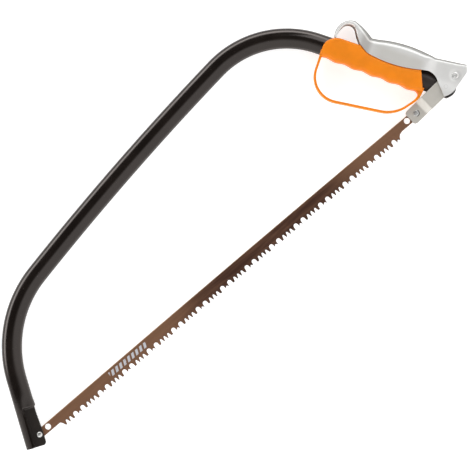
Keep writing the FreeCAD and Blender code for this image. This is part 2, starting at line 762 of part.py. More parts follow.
if __name__ == "__main__":
    main()
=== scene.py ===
import math

import bmesh
import bpy
import numpy as np
from bpy.props import FloatProperty, FloatVectorProperty, PointerProperty
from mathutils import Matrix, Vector


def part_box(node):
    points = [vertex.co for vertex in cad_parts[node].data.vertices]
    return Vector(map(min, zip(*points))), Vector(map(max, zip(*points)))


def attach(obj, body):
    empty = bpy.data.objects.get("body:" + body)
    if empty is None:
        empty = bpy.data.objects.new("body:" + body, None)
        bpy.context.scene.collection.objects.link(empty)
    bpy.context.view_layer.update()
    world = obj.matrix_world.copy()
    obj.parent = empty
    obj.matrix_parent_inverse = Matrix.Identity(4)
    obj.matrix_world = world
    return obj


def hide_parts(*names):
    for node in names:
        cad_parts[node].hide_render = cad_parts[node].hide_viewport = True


bl_info = {
    "name": "Bow saw",
    "version": (1, 0, 0),
    "blender": (4, 5, 0),
    "location": "View3D > Sidebar > Bow saw",
    "description": "Makes the visible surfaces and finishes of a bow saw over its fixed frame",
    "category": "Object",
}

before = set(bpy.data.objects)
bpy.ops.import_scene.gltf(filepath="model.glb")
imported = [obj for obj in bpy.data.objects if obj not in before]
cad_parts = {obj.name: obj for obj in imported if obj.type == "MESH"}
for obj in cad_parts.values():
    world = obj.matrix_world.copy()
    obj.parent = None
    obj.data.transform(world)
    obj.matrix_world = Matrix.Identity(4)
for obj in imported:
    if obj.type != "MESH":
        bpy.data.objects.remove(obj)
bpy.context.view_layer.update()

# All sizes are in millimetres, in the saw's own frame: the blade's front hole is at x = 0 and its
# rear hole at x = BLADE_HOLES, the bow is towards +Y, the teeth face -Y, and z = 0 is mid-thickness.
MM = 0.001
BLADE_HOLES = 607.0
HOLE_Y = 0.6
REAR_HOLE = np.array([BLADE_HOLES, HOLE_Y])
LEVER_PIVOT = np.array([654.8, 1.75])
LINK_PIVOT = np.array([672.3, 4.95])
FRONT_PIN = np.array([0.55, -0.15])
NOSE_ANGLE = 66.0
BACK_ANGLES = (11.0, 6.0)
HANDLE_ANGLE = -59.4
HANDLE_LINE = 180.0 + HANDLE_ANGLE
NOSE_LENGTH = 161.0
NOSE_BEND = 142.0
HANDLE_BEND = 120.0
BACK_BOW_SHARE = 0.97
PIN_UP = 13.8
PIN_ACROSS = 8.1

pin_low, pin_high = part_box("rear_blade_pin")
SHIFT = np.array((pin_low + pin_high) / 2) - np.array([*REAR_HOLE, 0.0]) * MM


# ---------------------------------------------------------------- sums for shapes
def smooth(x):
    """s(x) = 3x^2 - 2x^3 with x held between 0 and 1."""
    x = np.clip(x, 0.0, 1.0)
    return x * x * (3.0 - 2.0 * x)


def heading(angle):
    """Unit vector (cos a, sin a) of an angle in degrees; arrays give arrays."""
    a = np.radians(angle)
    return np.stack([np.cos(a), np.sin(a)], -1)


def turned_frame(points, origin, angle):
    """p = origin + x (cos a, sin a) + y (-sin a, cos a); z is kept."""
    flat = origin + points[..., 0:1] * heading(angle) + points[..., 1:2] * heading(angle + 90.0)
    return np.concatenate([flat, points[..., 2:]], -1)


def at_handle(points):
    """(u, v) to the saw's frame: u runs up the handle from the lever's pivot, v towards the fingers."""
    return turned_frame(points, LEVER_PIVOT, HANDLE_LINE)


def link_angle():
    """Angle in degrees of the line from the link's pivot to the blade's rear hole."""
    away = REAR_HOLE - LINK_PIVOT
    return math.degrees(math.atan2(away[1], away[0]))


def at_link(points):
    """(x, y) to the saw's frame: x runs from the link's pivot towards the blade's rear hole."""
    return turned_frame(points, LINK_PIVOT, link_angle())


def arc_through(a, b, c, count):
    """count + 1 points from a to c on the circle through a, b and c: o from |o-a| = |o-b| = |o-c|."""
    a, b, c = (np.array(p, float) for p in (a, b, c))
    o = np.linalg.solve(2 * np.array([b - a, c - a]), [b @ b - a @ a, c @ c - a @ a])
    start, middle, end = (math.atan2(*(p - o)[::-1]) for p in (a, b, c))
    full = 2 * math.pi
    sweep = (end - start) % full
    if (middle - start) % full > sweep:
        sweep -= full
    return o + math.dist(a, o) * heading(np.degrees(start + sweep * np.linspace(0, 1, count + 1)))


def trace(parts, count=80):
    """Dense line along points, where a pair (middle, end) is an arc through middle."""
    line = [np.array([parts[0]], float)]
    last = parts[0]
    for item in parts[1:]:
        arc = isinstance(item[0], tuple)
        end = item[1] if arc else item
        run = arc_through(last, item[0], end, count) if arc else np.linspace(last, end, count + 1)
        line.append(run[1:])
        last = end
    return np.concatenate(line)


def spaced(line, shares):
    """Points of a line at the given shares, 0 to 1, of its length."""
    run = np.concatenate([[0.0], np.cumsum(np.hypot(*np.diff(line, axis=0).T))])
    at = np.asarray(shares) * run[-1]
    return np.stack([np.interp(at, run, line[:, 0]), np.interp(at, run, line[:, 1])], 1)


def matched(line, knots, counts):
    """Points of a line, spaced evenly between its points nearest to each knot."""
    stops = [int(np.argmin(np.hypot(*(line - np.array(k)).T))) for k in knots]
    runs = [spaced(line[a:b + 1], np.linspace(0, 1, n + 1)[:-1])
            for a, b, n in zip(stops, stops[1:], counts)]
    return np.concatenate(runs + [line[stops[-1]:stops[-1] + 1]])


def path_pieces(points, radii):
    """Straight runs and arcs of a path with rounded corners, as (start, heading, turn, radius, length).
    A corner that turns by t with radius r is cut off r tan(t / 2) before and after it."""
    pieces = []
    start = np.array(points[0], float)
    for i, radius in enumerate(radii):
        corner, after = np.array(points[i + 1], float), np.array(points[i + 2], float)
        angle_in = math.degrees(math.atan2(*(corner - start)[::-1]))
        angle_out = math.degrees(math.atan2(*(after - corner)[::-1]))
        turn = (angle_out - angle_in + 180.0) % 360.0 - 180.0
        cut = radius * math.tan(math.radians(abs(turn)) / 2)
        begin = corner - cut * heading(angle_in)
        pieces.append((start, angle_in, 0.0, 0.0, math.dist(start, begin)))
        pieces.append((begin, angle_in, turn, radius, radius * math.radians(abs(turn))))
        start = corner + cut * heading(angle_out)
    last = np.array(points[-1], float)
    pieces.append((start, math.degrees(math.atan2(*(last - start)[::-1])), 0.0, 0.0, math.dist(start, last)))
    return pieces


def walk(pieces, at):
    """Places p and headings a at distances s along a path: p = p0 + s h(a) on a straight run, and
    p = o - r n(a) with a = a0 +- s / r on an arc round o, where n points towards o."""
    place, angle = np.zeros((len(at), 2)), np.zeros(len(at))
    done = 0.0
    for start, first, turn, radius, length in pieces:
        here = at >= done - 1e-9
        s = at[here] - done
        if turn == 0.0:
            place[here] = start + s[:, None] * heading(first)
            angle[here] = first
        else:
            side = math.copysign(90.0, turn)
            centre = start + radius * heading(first + side)
            angle[here] = first + math.copysign(1.0, turn) * np.degrees(s / radius)
            place[here] = centre - radius * heading(angle[here] + side)
        done += length
    return place, angle


def path_length(pieces):
    """Length of a whole path."""
    return sum(p[4] for p in pieces)


def crossing(p, angle_p, q, angle_q):
    """Point where two lines meet: p + t h(a) with t = ((q - p) x h(b)) / (h(a) x h(b))."""
    a, b = heading(angle_p), heading(angle_q)
    away = np.array(q) - np.array(p)
    return np.array(p) + a * (away[0] * b[1] - away[1] * b[0]) / (a[0] * b[1] - a[1] * b[0])


# ---------------------------------------------------------------- meshes
def grid_faces(rows, cols, wrap_rows=False, wrap_cols=False):
    """Quads (i, j) (i+1, j) (i+1, j+1) (i, j+1) of a grid of points numbered i * cols + j."""
    i, j = np.meshgrid(np.arange(rows - (not wrap_rows)), np.arange(cols - (not wrap_cols)), indexing="ij")
    i2, j2 = (i + 1) % rows, (j + 1) % cols
    return np.stack([i * cols + j, i2 * cols + j, i2 * cols + j2, i * cols + j2], -1).reshape(-1, 4)


def patch(points, wrap_rows=False, wrap_cols=False):
    """One grid of points as (points, quads)."""
    rows, cols = points.shape[:2]
    return points.reshape(-1, 3), grid_faces(rows, cols, wrap_rows, wrap_cols)


def make_piece(name, patches, body, stands_for, material, crease=32.0, marks=None):
    """Joins patches into one closed mesh: equal points merged, open ends capped, faces turned outwards."""
    starts = np.cumsum([0] + [len(p) for p, _ in patches[:-1]])
    points = np.concatenate([p for p, _ in patches])
    faces = np.concatenate([f + s for (_, f), s in zip(patches, starts)])
    mesh = bpy.data.meshes.new(name)
    mesh.from_pydata((points * MM + SHIFT).tolist(), [], faces.tolist())
    for mark, values in (marks or {}).items():
        layer = mesh.attributes.new(mark, "FLOAT", "POINT")
        layer.data.foreach_set("value", np.asarray(values, np.float32).ravel())
    bm = bmesh.new()
    bm.from_mesh(mesh)
    bmesh.ops.remove_doubles(bm, verts=bm.verts, dist=0.002 * MM)
    bmesh.ops.dissolve_degenerate(bm, edges=bm.edges, dist=0.001 * MM)
    bmesh.ops.holes_fill(bm, edges=[e for e in bm.edges if e.is_boundary], sides=0)
    bmesh.ops.recalc_face_normals(bm, faces=bm.faces)
    bm.to_mesh(mesh)
    bm.free()
    mesh.polygons.foreach_set("use_smooth", [True] * len(mesh.polygons))
    mesh.set_sharp_from_angle(angle=math.radians(crease))
    mesh.materials.append(material)
    piece = bpy.data.objects.new(name, mesh)
    bpy.context.scene.collection.objects.link(piece)
    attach(piece, body)
    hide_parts(*stands_for)
    return piece


def lathe(centre, profile, count=72):
    """Surface of revolution p = (c + r h(a), z) of a line of (r, z) points about a vertical axis."""
    line = np.array(profile, float)
    around = heading(np.linspace(0, 360, count, endpoint=False))
    flat = np.array(centre) + line[:, None, 0:1] * around[None]
    z = np.broadcast_to(line[:, None, 1:2], flat.shape[:2] + (1,))
    return np.concatenate([flat, z], -1)


def slab_rings(line, low, high, edge):
    """Rings round a closed outline q with outward normal n and rounded edges of radius e:
    p = q - n e (1 - sin a), with z = low + e (1 - cos a) below and z = high - e (1 - cos a) above."""
    ahead = np.roll(line, -1, 0) - np.roll(line, 1, 0)
    out = np.stack([ahead[:, 1], -ahead[:, 0]], 1) / np.hypot(*ahead.T)[:, None]
    area = np.sum(line[:, 0] * np.roll(line[:, 1], -1) - line[:, 1] * np.roll(line[:, 0], -1))
    out *= math.copysign(1.0, area)
    a = np.linspace(0, math.pi / 2, 6)
    inset = edge * (1 - np.sin(np.concatenate([a, a[::-1]])))
    z = np.concatenate([low + edge * (1 - np.cos(a)), high - edge * (1 - np.cos(a[::-1]))])
    flat = line[None] - out[None] * inset[:, None, None]
    return np.concatenate([flat, np.broadcast_to(z[:, None, None], flat.shape[:2] + (1,))], -1)


def sheet_solid(patches, top, bottom):
    """Thick sheet over flat patches: the same quads at z = top(x, y) and z = bottom(x, y), and a rim
    between them along every edge that only one quad uses."""
    starts = np.cumsum([0] + [len(p) for p, _ in patches[:-1]])
    flat = np.concatenate([p for p, _ in patches])[:, :2]
    faces = np.concatenate([f + s for (_, f), s in zip(patches, starts)])
    _, first, same = np.unique(np.round(flat, 3), axis=0, return_index=True, return_inverse=True)
    flat, faces = flat[first], same.ravel()[faces]
    edges = np.concatenate([faces[:, [k, (k + 1) % 4]] for k in range(4)])
    edges = edges[edges[:, 0] != edges[:, 1]]
    _, back, uses = np.unique(np.sort(edges, 1), axis=0, return_index=True, return_counts=True)
    rim = edges[back[uses == 1]]
    n = len(flat)
    upper = np.column_stack([flat, top(flat[:, 0], flat[:, 1])])
    lower = np.column_stack([flat, bottom(flat[:, 0], flat[:, 1])])
    rim_faces = np.stack([rim[:, 0], rim[:, 0] + n, rim[:, 1] + n, rim[:, 1]], 1)
    return np.concatenate([upper, lower]), np.concatenate([faces, faces[:, ::-1] + n, rim_faces])


# ---------------------------------------------------------------- node materials
class Finish:
    """A material and short ways to add nodes to it. All patterns use object coordinates, in metres."""

    def __init__(self, name):
        self.material = bpy.data.materials.new(name)
        self.material.use_nodes = True
        self.tree = self.material.node_tree
        self.tree.nodes.clear()
        self.out = self.tree.nodes.new("ShaderNodeOutputMaterial")
        self.shader = self.tree.nodes.new("ShaderNodeBsdfPrincipled")
        self.tree.links.new(self.shader.outputs[0], self.out.inputs[0])
        self.place = self.tree.nodes.new("ShaderNodeTexCoord").outputs["Object"]

    def node(self, kind, inputs=None, **settings):
        """A node of one kind, with its settings and its inputs by number or name."""
        made = self.tree.nodes.new("ShaderNode" + kind)
        for key, value in settings.items():
            setattr(made, key, value)
        for key, value in (inputs or {}).items():
            self.put(made.inputs[key], value)
        return made

    def put(self, socket, value):
        """Links a socket to another or gives it a plain value."""
        if isinstance(value, bpy.types.NodeSocket):
            self.tree.links.new(value, socket)
        else:
            socket.default_value = value

    def set(self, **values):
        """Fills inputs of the material's shader, named with _ for each space."""
        for key, value in values.items():
            self.put(self.shader.inputs[key.replace("_", " ")], value)

    def sum(self, how, a, b=0.0, c=0.0):
        """One step of arithmetic, named as the Math node names it."""
        return self.node("Math", {0: a, 1: b, 2: c}, operation=how).outputs[0]

    def local(self, origin=(0, 0, 0), angle=0.0, scale=(1, 1, 1)):
        """Object coordinates seen from an origin (saw frame, mm), turned and stretched."""
        back = tuple(-(np.array(origin) * MM + SHIFT))
        shifted = self.node("VectorMath", {0: self.place, 1: back}, operation="ADD")
        turned = self.node("VectorRotate", {"Vector": shifted.outputs[0], "Angle": math.radians(-angle)},
                           rotation_type="Z_AXIS")
        grown = self.node("VectorMath", {0: turned.outputs[0], 1: scale}, operation="MULTIPLY")
        return grown.outputs[0]

    def noise(self, scale, detail=2.0, rough=0.5, vector=None):
        """Cloudy noise, mostly between 0.3 and 0.7."""
        made = self.node("TexNoise", {"Vector": vector or self.place, "Scale": scale, "Detail": detail,
                                      "Roughness": rough})
        return made.outputs["Fac"]

    def range(self, value, low, high, to_low=0.0, to_high=1.0):
        """to_low + (to_high - to_low) s((value - low) / (high - low)), with s as in smooth."""
        inputs = {"Value": value, "From Min": low, "From Max": high, "To Min": to_low, "To Max": to_high}
        return self.node("MapRange", inputs, interpolation_type="SMOOTHSTEP").outputs[0]

    def near(self, value, centre, inner, outer, most=1.0):
        """most where |value - centre| is under inner, falling to 0 at outer."""
        away = self.sum("ABSOLUTE", self.sum("SUBTRACT", value, centre))
        return self.range(away, inner, outer, most, 0.0)

    def distance(self, place):
        """sqrt(x^2 + y^2) of a place split into its coordinates."""
        flat = self.node("CombineXYZ", {0: place[0], 1: place[1], 2: 0.0}).outputs[0]
        return self.node("VectorMath", {0: flat}, operation="LENGTH").outputs["Value"]

    def blend(self, share, a, b):
        """Colour a + share (b - a)."""
        made = self.node("Mix", {0: share}, data_type="RGBA")
        self.put(made.inputs[6], colour(a))
        self.put(made.inputs[7], colour(b))
        return made.outputs[2]

    def mark(self, name):
        """A number stored on the mesh's points."""
        return self.node("Attribute", attribute_name=name).outputs["Fac"]

    def bump(self, height, strength, distance, below=None):
        """Normals of a fine relief, laid over another bump if one is given."""
        inputs = {"Height": height, "Strength": strength, "Distance": distance}
        if below is not None:
            inputs["Normal"] = below
        return self.node("Bump", inputs).outputs[0]

    def split(self, vector):
        """The three coordinates of a vector."""
        return self.node("SeparateXYZ", {0: vector}).outputs


def colour(value):
    """A colour with its fourth value, or the socket that gives one."""
    if isinstance(value, bpy.types.NodeSocket):
        return value
    return (*tuple(value)[:3], 1.0)


def tint(value, factor):
    """A colour made lighter or darker, no value above 1."""
    return tuple(min(1.0, c * factor) for c in tuple(value)[:3])


# In the finishes an origin is in the saw's millimetres. All other places and lengths are in metres, as
# object coordinates are.
PRESSED_PART = (-13.0, -9.0, 0.0)
GROOVE_Y = 0.0026
WORN_PAINT = (0.28, 0.25, 0.23)
WARM_SHINE = (1.0, 0.90, 0.86, 1.0)


def tube_finish(settings):
    """Black powder coat with fine orange peel and small rubbed spots: duller on the pressed front and near
    the lever's pivot, with painted shade along the groove beside the pressed part, where shine and coat are
    taken away."""
    f = Finish("tube_paint")
    peel = f.noise(900.0, 2.0)
    cloud = f.noise(35.0, 4.0)
    nose = f.split(f.local(PRESSED_PART, NOSE_ANGLE))
    handle = f.split(f.local((*LEVER_PIVOT, 0.0), HANDLE_LINE))
    base = f.blend(f.range(cloud, 0.35, 0.7), settings.tube_colour, tint(settings.tube_colour, 1.5))
    worn = f.sum("MULTIPLY", f.range(f.noise(420.0, 5.0, 0.65), 0.66, 0.72), settings.wear)
    base = f.blend(f.sum("MULTIPLY", worn, 0.35), base, WORN_PAINT)
    at_front = f.range(nose[0], 0.045, 0.075, 1.0, 0.0)
    dull = f.sum("MAXIMUM", at_front, f.range(handle[0], 0.050, 0.034, 0.0, 2.2))
    rough = f.sum("MULTIPLY_ADD", cloud, 0.06, f.sum("MULTIPLY_ADD", dull, 0.20, 0.13))
    # Painted shade in the crease beside the pressed part: shine and coat are taken away there.
    groove = f.near(nose[1], GROOVE_Y, 0.0005, 0.0016, 0.95)
    groove = f.sum("MULTIPLY", groove, f.range(nose[0], 0.047, 0.040))
    open_face = f.sum("SUBTRACT", 1.0, groove)
    f.set(Base_Color=base, Roughness=rough, Specular_IOR_Level=f.sum("MULTIPLY", open_face, 0.6),
          Specular_Tint=WARM_SHINE, Coat_Weight=f.sum("MULTIPLY", open_face, 0.25), Coat_Roughness=0.10,
          Normal=f.bump(peel, 0.03, 0.0002))
    return f.material


DARK_FROM = (0.215, 0.315)
DARK_UNTIL = (0.485, 0.555)
BACK_EDGE_TAN = (0.52, 0.36, 0.22)
FILED_STEEL = (0.040, 0.034, 0.038)
PRINT_INK = (0.55, 0.56, 0.60)
PRINT_FROM, PRINT_UNTIL = 0.113, 0.172
PRINT_EDGE = 0.0005
PRINT_HALF = 0.0030
BAR_PITCH = 0.0064
BAR_SLANT = -0.45


def blade_finish(settings):
    """Bronze lacquer on steel, darker in the middle of the blade, with a lighter tan line along the back
    edge, filed tooth points and a plain row of slanting bars printed near the front."""
    f = Finish("blade_coating")
    saw = f.split(f.local())
    along = f.sum("ADD", saw[0], f.sum("MULTIPLY", f.noise(9.0, 2.0), 0.05))
    dark = f.sum("MULTIPLY", f.range(along, *DARK_FROM), f.range(along, *DARK_UNTIL[::-1]))
    base = f.blend(dark, settings.blade_colour, settings.blade_dark)
    streak = f.noise(60.0, 5.0, 0.6, f.local(scale=(0.25, 3.0, 1.0)))
    base = f.blend(f.range(streak, 0.35, 0.75, 0.0, 0.35), base, tint(settings.blade_colour, 1.35))
    speck = f.noise(1400.0, 3.0, 0.7)
    base = f.blend(f.range(speck, 0.62, 0.72, 0.0, 0.45), base, tint(settings.blade_dark, 0.6))
    middle = f.sum("MULTIPLY_ADD", saw[0], 2.0 / (BLADE_HOLES * MM), -1.0)
    back = f.sum("MULTIPLY_ADD", f.sum("MULTIPLY", middle, middle), -0.0011, 0.0068)
    # A lighter tan line along the back edge of the blade.
    rim = f.range(f.sum("SUBTRACT", back, saw[1]), 0.0011, 0.0003, 0.0, 0.7)
    base = f.blend(rim, base, BACK_EDGE_TAN)
    filed = f.mark("filed")
    base = f.blend(f.range(filed, 0.3, 0.8, 0.0, 0.8), base, FILED_STEEL)
    slanted = f.sum("ADD", saw[0], f.sum("MULTIPLY", saw[1], BAR_SLANT))
    bars = f.sum("FRACT", f.sum("MULTIPLY", slanted, 1.0 / BAR_PITCH))
    bar = f.near(bars, 0.5, 0.25, 0.31)
    starts = f.range(saw[0], PRINT_FROM - PRINT_EDGE, PRINT_FROM + PRINT_EDGE)
    stops = f.range(saw[0], PRINT_UNTIL + PRINT_EDGE, PRINT_UNTIL - PRINT_EDGE)
    tall = f.near(saw[1], -0.0003, PRINT_HALF, PRINT_HALF + 0.0004)
    ink = f.sum("MULTIPLY", f.sum("MULTIPLY", bar, f.sum("MULTIPLY", starts, stops)), tall)
    chipped = f.range(f.noise(700.0, 4.0), 0.30, 0.38)
    base = f.blend(f.sum("MULTIPLY", ink, chipped), base, PRINT_INK)
    rough = f.sum("MULTIPLY_ADD", streak, 0.22, 0.34)
    brushed = f.noise(420.0, 4.0, 0.6, f.local(scale=(0.12, 1.6, 1.0)))
    f.set(Base_Color=base, Metallic=f.range(filed, 0.3, 0.8, 0.0, 0.5), Roughness=rough,
          Specular_IOR_Level=0.25, Normal=f.bump(brushed, 0.10, 0.0003))
    return f.material


def pressed_steel(name, base, warm, rough, angle, settings):
    """Zinc-plated pressing: rolling lines at an angle, cloudy plating, dull stains and fine scratches."""
    f = Finish(name)
    flow = f.local((*LEVER_PIVOT, 0.0), angle, (0.06, 1.0, 1.0))
    lines = f.noise(900.0, 3.0, 0.6, flow)
    cloud = f.noise(28.0, 4.0, 0.55)
    mottle = f.noise(160.0, 5.0, 0.6)
    body = f.blend(f.range(cloud, 0.35, 0.7), base, warm)
    body = f.blend(f.range(mottle, 0.55, 0.8, 0.0, 0.12), body, tint(base, 0.8))
    slanting = f.local((0, 0, 0), angle + 35.0, (0.02, 1.2, 1.0))
    scratch = f.range(f.noise(520.0, 4.0, 0.6, slanting), 0.66, 0.80)
    scratch = f.sum("MULTIPLY", scratch, settings.wear)
    body = f.blend(f.sum("MULTIPLY", scratch, 0.4), body, tint(base, 0.7))
    grain = f.bump(lines, 0.06, 0.0001)
    f.set(Base_Color=body, Metallic=STEEL_METALLIC, Roughness=f.sum("MULTIPLY_ADD", mottle, 0.05, rough),
          Normal=f.bump(f.noise(70.0, 1.0), 0.03, 0.0005, grain))
    return f, body


STEEL_METALLIC = 0.40
PIVOT_SEAM_R = 0.0024
SEAM_GREY = (0.3, 0.3, 0.3)
CHANNEL_STAIN = (0.62, 0.60, 0.54)
NECK_PAINTED_SHADE = (0.34, 0.31, 0.28)
ROUNDING_SHADE = (0.24, 0.24, 0.23)
EDGE_SHADE = (0.11, 0.105, 0.09)


def lever_finish(settings):
    """The lever's steel: duller low in the channel, with painted shade at the neck of the hook and along the
    rolled-over edges of the sheet, and a fine seam round the flush end of its pivot rivet."""
    rest = tint(settings.lever_colour, 0.96)
    f, body = pressed_steel("lever_steel", settings.lever_colour, rest, 0.30, HANDLE_LINE, settings)
    uv = f.split(f.local((*LEVER_PIVOT, 0.0), HANDLE_LINE))
    stain = f.sum("MULTIPLY", f.range(uv[0], 0.030, 0.040), f.range(uv[0], 0.112, 0.085))
    stain = f.sum("MULTIPLY", stain, f.range(uv[1], -0.026, -0.017))
    body = f.blend(f.sum("MULTIPLY", stain, 0.45), body, CHANNEL_STAIN)
    seam = f.near(f.distance(uv), PIVOT_SEAM_R, 0.00005, 0.0003)
    body = f.blend(f.sum("MULTIPLY", seam, 0.35), body, SEAM_GREY)
    # Painted shade at the neck of the hook.
    neck = f.sum("MULTIPLY", f.range(uv[0], 0.099, 0.107), f.range(uv[0], 0.121, 0.112))
    body = f.blend(f.sum("MULTIPLY", neck, 0.5), body, NECK_PAINTED_SHADE)
    rolled = f.mark("rolled")
    band = f.sum("MULTIPLY", f.range(rolled, 0.08, 0.34), f.range(rolled, 0.96, 0.80))
    body = f.blend(f.sum("MULTIPLY", band, 0.85), body, ROUNDING_SHADE)
    edge = f.sum("MULTIPLY", f.range(rolled, 0.50, 0.58), f.range(rolled, 0.90, 0.80))
    body = f.blend(f.sum("MULTIPLY", edge, 0.9), body, EDGE_SHADE)
    face = f.sum("MULTIPLY_ADD", edge, -0.85, 1.0)
    f.set(Base_Color=body, Metallic=f.sum("MULTIPLY", face, STEEL_METALLIC),
          Specular_IOR_Level=f.sum("MULTIPLY", face, 0.5))
    return f.material


CRESCENT_R = 0.0039
CRESCENT_ANGLE = -41.0
CRESCENT_SHADOW_BLACK = (0.02, 0.02, 0.02)


def link_finish(settings):
    """Warmer, duller steel strip, with a painted crescent of shadow beside the blade's rivet."""
    rest = tint(settings.link_colour, 0.9)
    f, body = pressed_steel("link_steel", settings.link_colour, rest, 0.36, link_angle(), settings)
    # Painted shadow: a dark crescent beside the blade's rivet, where the plate has no gap.
    pin = f.split(f.local((*REAR_HOLE, 0.0), CRESCENT_ANGLE))
    ring = f.near(f.distance(pin), CRESCENT_R, 0.00035, 0.00075)
    crescent = f.sum("MULTIPLY", ring, f.range(pin[0], 0.0006, 0.0022))
    f.set(Base_Color=f.blend(f.sum("MULTIPLY", crescent, 0.95), body, CRESCENT_SHADOW_BLACK))
    return f.material


def rivet_finish(settings):
    """Bright zinc on turned and headed steel."""
    f = Finish("rivet_steel")
    cloud = f.noise(700.0, 4.0)
    bright, dark = tint(settings.lever_colour, 1.1), tint(settings.lever_colour, 0.8)
    f.set(Base_Color=f.blend(f.range(cloud, 0.3, 0.7), bright, dark), Metallic=0.9,
          Roughness=f.sum("MULTIPLY_ADD", cloud, 0.2, 0.18), Normal=f.bump(cloud, 0.08, 0.0002))
    return f.material


GRIP_DIRT = (0.35, 0.11, 0.02)
PLUG_BLACK = (0.012, 0.012, 0.012)
PLUG_GREY = (0.03, 0.028, 0.027)


def grip_finish(settings):
    """Moulded orange plastic: fine spark-eroded grain, slight flow marks and handling gloss."""
    f = Finish("grip_plastic")
    grain = f.noise(2600.0, 2.0, 0.6)
    flow = f.noise(45.0, 4.0, 0.55)
    base = f.blend(f.range(flow, 0.35, 0.7), settings.grip_colour, tint(settings.grip_colour, 0.9))
    spots = f.range(f.noise(300.0, 6.0, 0.7), 0.64, 0.74)
    base = f.blend(f.sum("MULTIPLY", spots, 0.25 * settings.wear), base, GRIP_DIRT)
    f.set(Base_Color=base, Roughness=f.sum("MULTIPLY_ADD", flow, 0.16, 0.40), Specular_IOR_Level=0.25,
          Subsurface_Weight=0.08, Subsurface_Radius=(0.003, 0.0012, 0.0004), Subsurface_Scale=1.0,
          Normal=f.bump(grain, 0.16, 0.00015))
    return f.material


def plug_finish(settings):
    """Black moulded plug with a fine grain."""
    f = Finish("plug_plastic")
    f.set(Base_Color=f.blend(f.noise(60.0, 3.0), PLUG_BLACK, PLUG_GREY),
          Roughness=f.sum("MULTIPLY_ADD", f.noise(300.0), 0.2, 0.38),
          Normal=f.bump(f.noise(1800.0), 0.15, 0.0002))
    return f.material


FINISHES = {
    "tube_paint": tube_finish,
    "blade_coating": blade_finish,
    "lever_steel": lever_finish,
    "link_steel": link_finish,
    "rivet_steel": rivet_finish,
    "grip_plastic": grip_finish,
    "plug_plastic": plug_finish,
}
MADE = {}


def finish(name, settings):
    """The named material, made once and then shared."""
    if name not in MADE:
        MADE[name] = FINISHES[name](settings)
    return MADE[name]


# ---------------------------------------------------------------- tube
TUBE_HALF_WIDTH = 12.5
TUBE_HALF_DEPTH = 7.5
TUBE_END_R = 5.0
TUBE_SIDE_R = 17.5
TUBE_WALL = 1.5
CREASE_Y = 1.9
NOSE_WALL_OUT = 2.15
NOSE_WALL_IN = 0.65
SLOT_END = 40.0
TUBE_END_BACK = 6.0
END_CENTRE = TUBE_HALF_WIDTH - TUBE_END_R
OVAL_JOIN = 10.5
PRESS_BAND = (0.6, 4.2)
PRESSED_LENGTH = 47.0
SHOULDER_FROM = 47.6
SHOULDER_LENGTH = 3.6
FRONT_CORNER_R = 4.0
DENT_AT = (50.0, -2.5)
DENT_SPREAD = (10.0, 4.5)
DENT_DEPTH = 1.3
# The pressed edge of the tube: (distance along the path, distance from the path).
INNER_EDGE = [(0, 13.0), (17.8, 13.0), (39, 11.5), (49.0, 11.5), (50.4, 13.2), (52.5, 13.1), (62, 12.5)]
# The rounding of the pressed wall beside the slot: (distance from the edge, height).
SLOT_LIP = [(0.0, NOSE_WALL_IN), (0.0, 0.9), (0.0, 1.3), (0.03, 1.75), (0.12, 2.02), (0.3, 2.11)]


def oval_height(y):
    """Half-depth of the oval: z = sqrt(R^2 - y^2) - (R - d) along the sides, and at the ends
    z = sqrt(r^2 - (|y| - s)^2)."""
    rise = TUBE_SIDE_R - TUBE_HALF_DEPTH
    side = np.sqrt(np.maximum(TUBE_SIDE_R ** 2 - y ** 2, 0.0)) - rise
    end = np.sqrt(np.maximum(TUBE_END_R ** 2 - (np.abs(y) - END_CENTRE) ** 2, 0.0))
    return np.where(np.abs(y) > OVAL_JOIN, end, side)


def tube_pieces():
    """Runs and arcs of the tube's middle line, from its open front end over the bow to the lever."""
    front = FRONT_PIN + PIN_ACROSS * heading(NOSE_ANGLE + 90.0) - PIN_UP * heading(NOSE_ANGLE)
    front_corner = front + NOSE_LENGTH * heading(NOSE_ANGLE)
    rear_corner = crossing(front_corner, sum(BACK_ANGLES) / 2, LEVER_PIVOT, HANDLE_LINE)
    middle = crossing(front_corner, BACK_ANGLES[0], rear_corner, BACK_ANGLES[1])
    tube_end = LEVER_PIVOT - TUBE_END_BACK * heading(HANDLE_LINE)
    nose_cut = NOSE_BEND * math.tan(math.radians(NOSE_ANGLE - BACK_ANGLES[0]) / 2)
    handle_cut = HANDLE_BEND * math.tan(math.radians(BACK_ANGLES[1] - HANDLE_ANGLE) / 2)
    free = min(math.dist(front_corner, middle) - nose_cut, math.dist(middle, rear_corner) - handle_cut)
    bow = BACK_BOW_SHARE * free / math.tan(math.radians(BACK_ANGLES[0] - BACK_ANGLES[1]) / 2)
    return path_pieces([front, front_corner, middle, rear_corner, tube_end], [NOSE_BEND, bow, HANDLE_BEND])


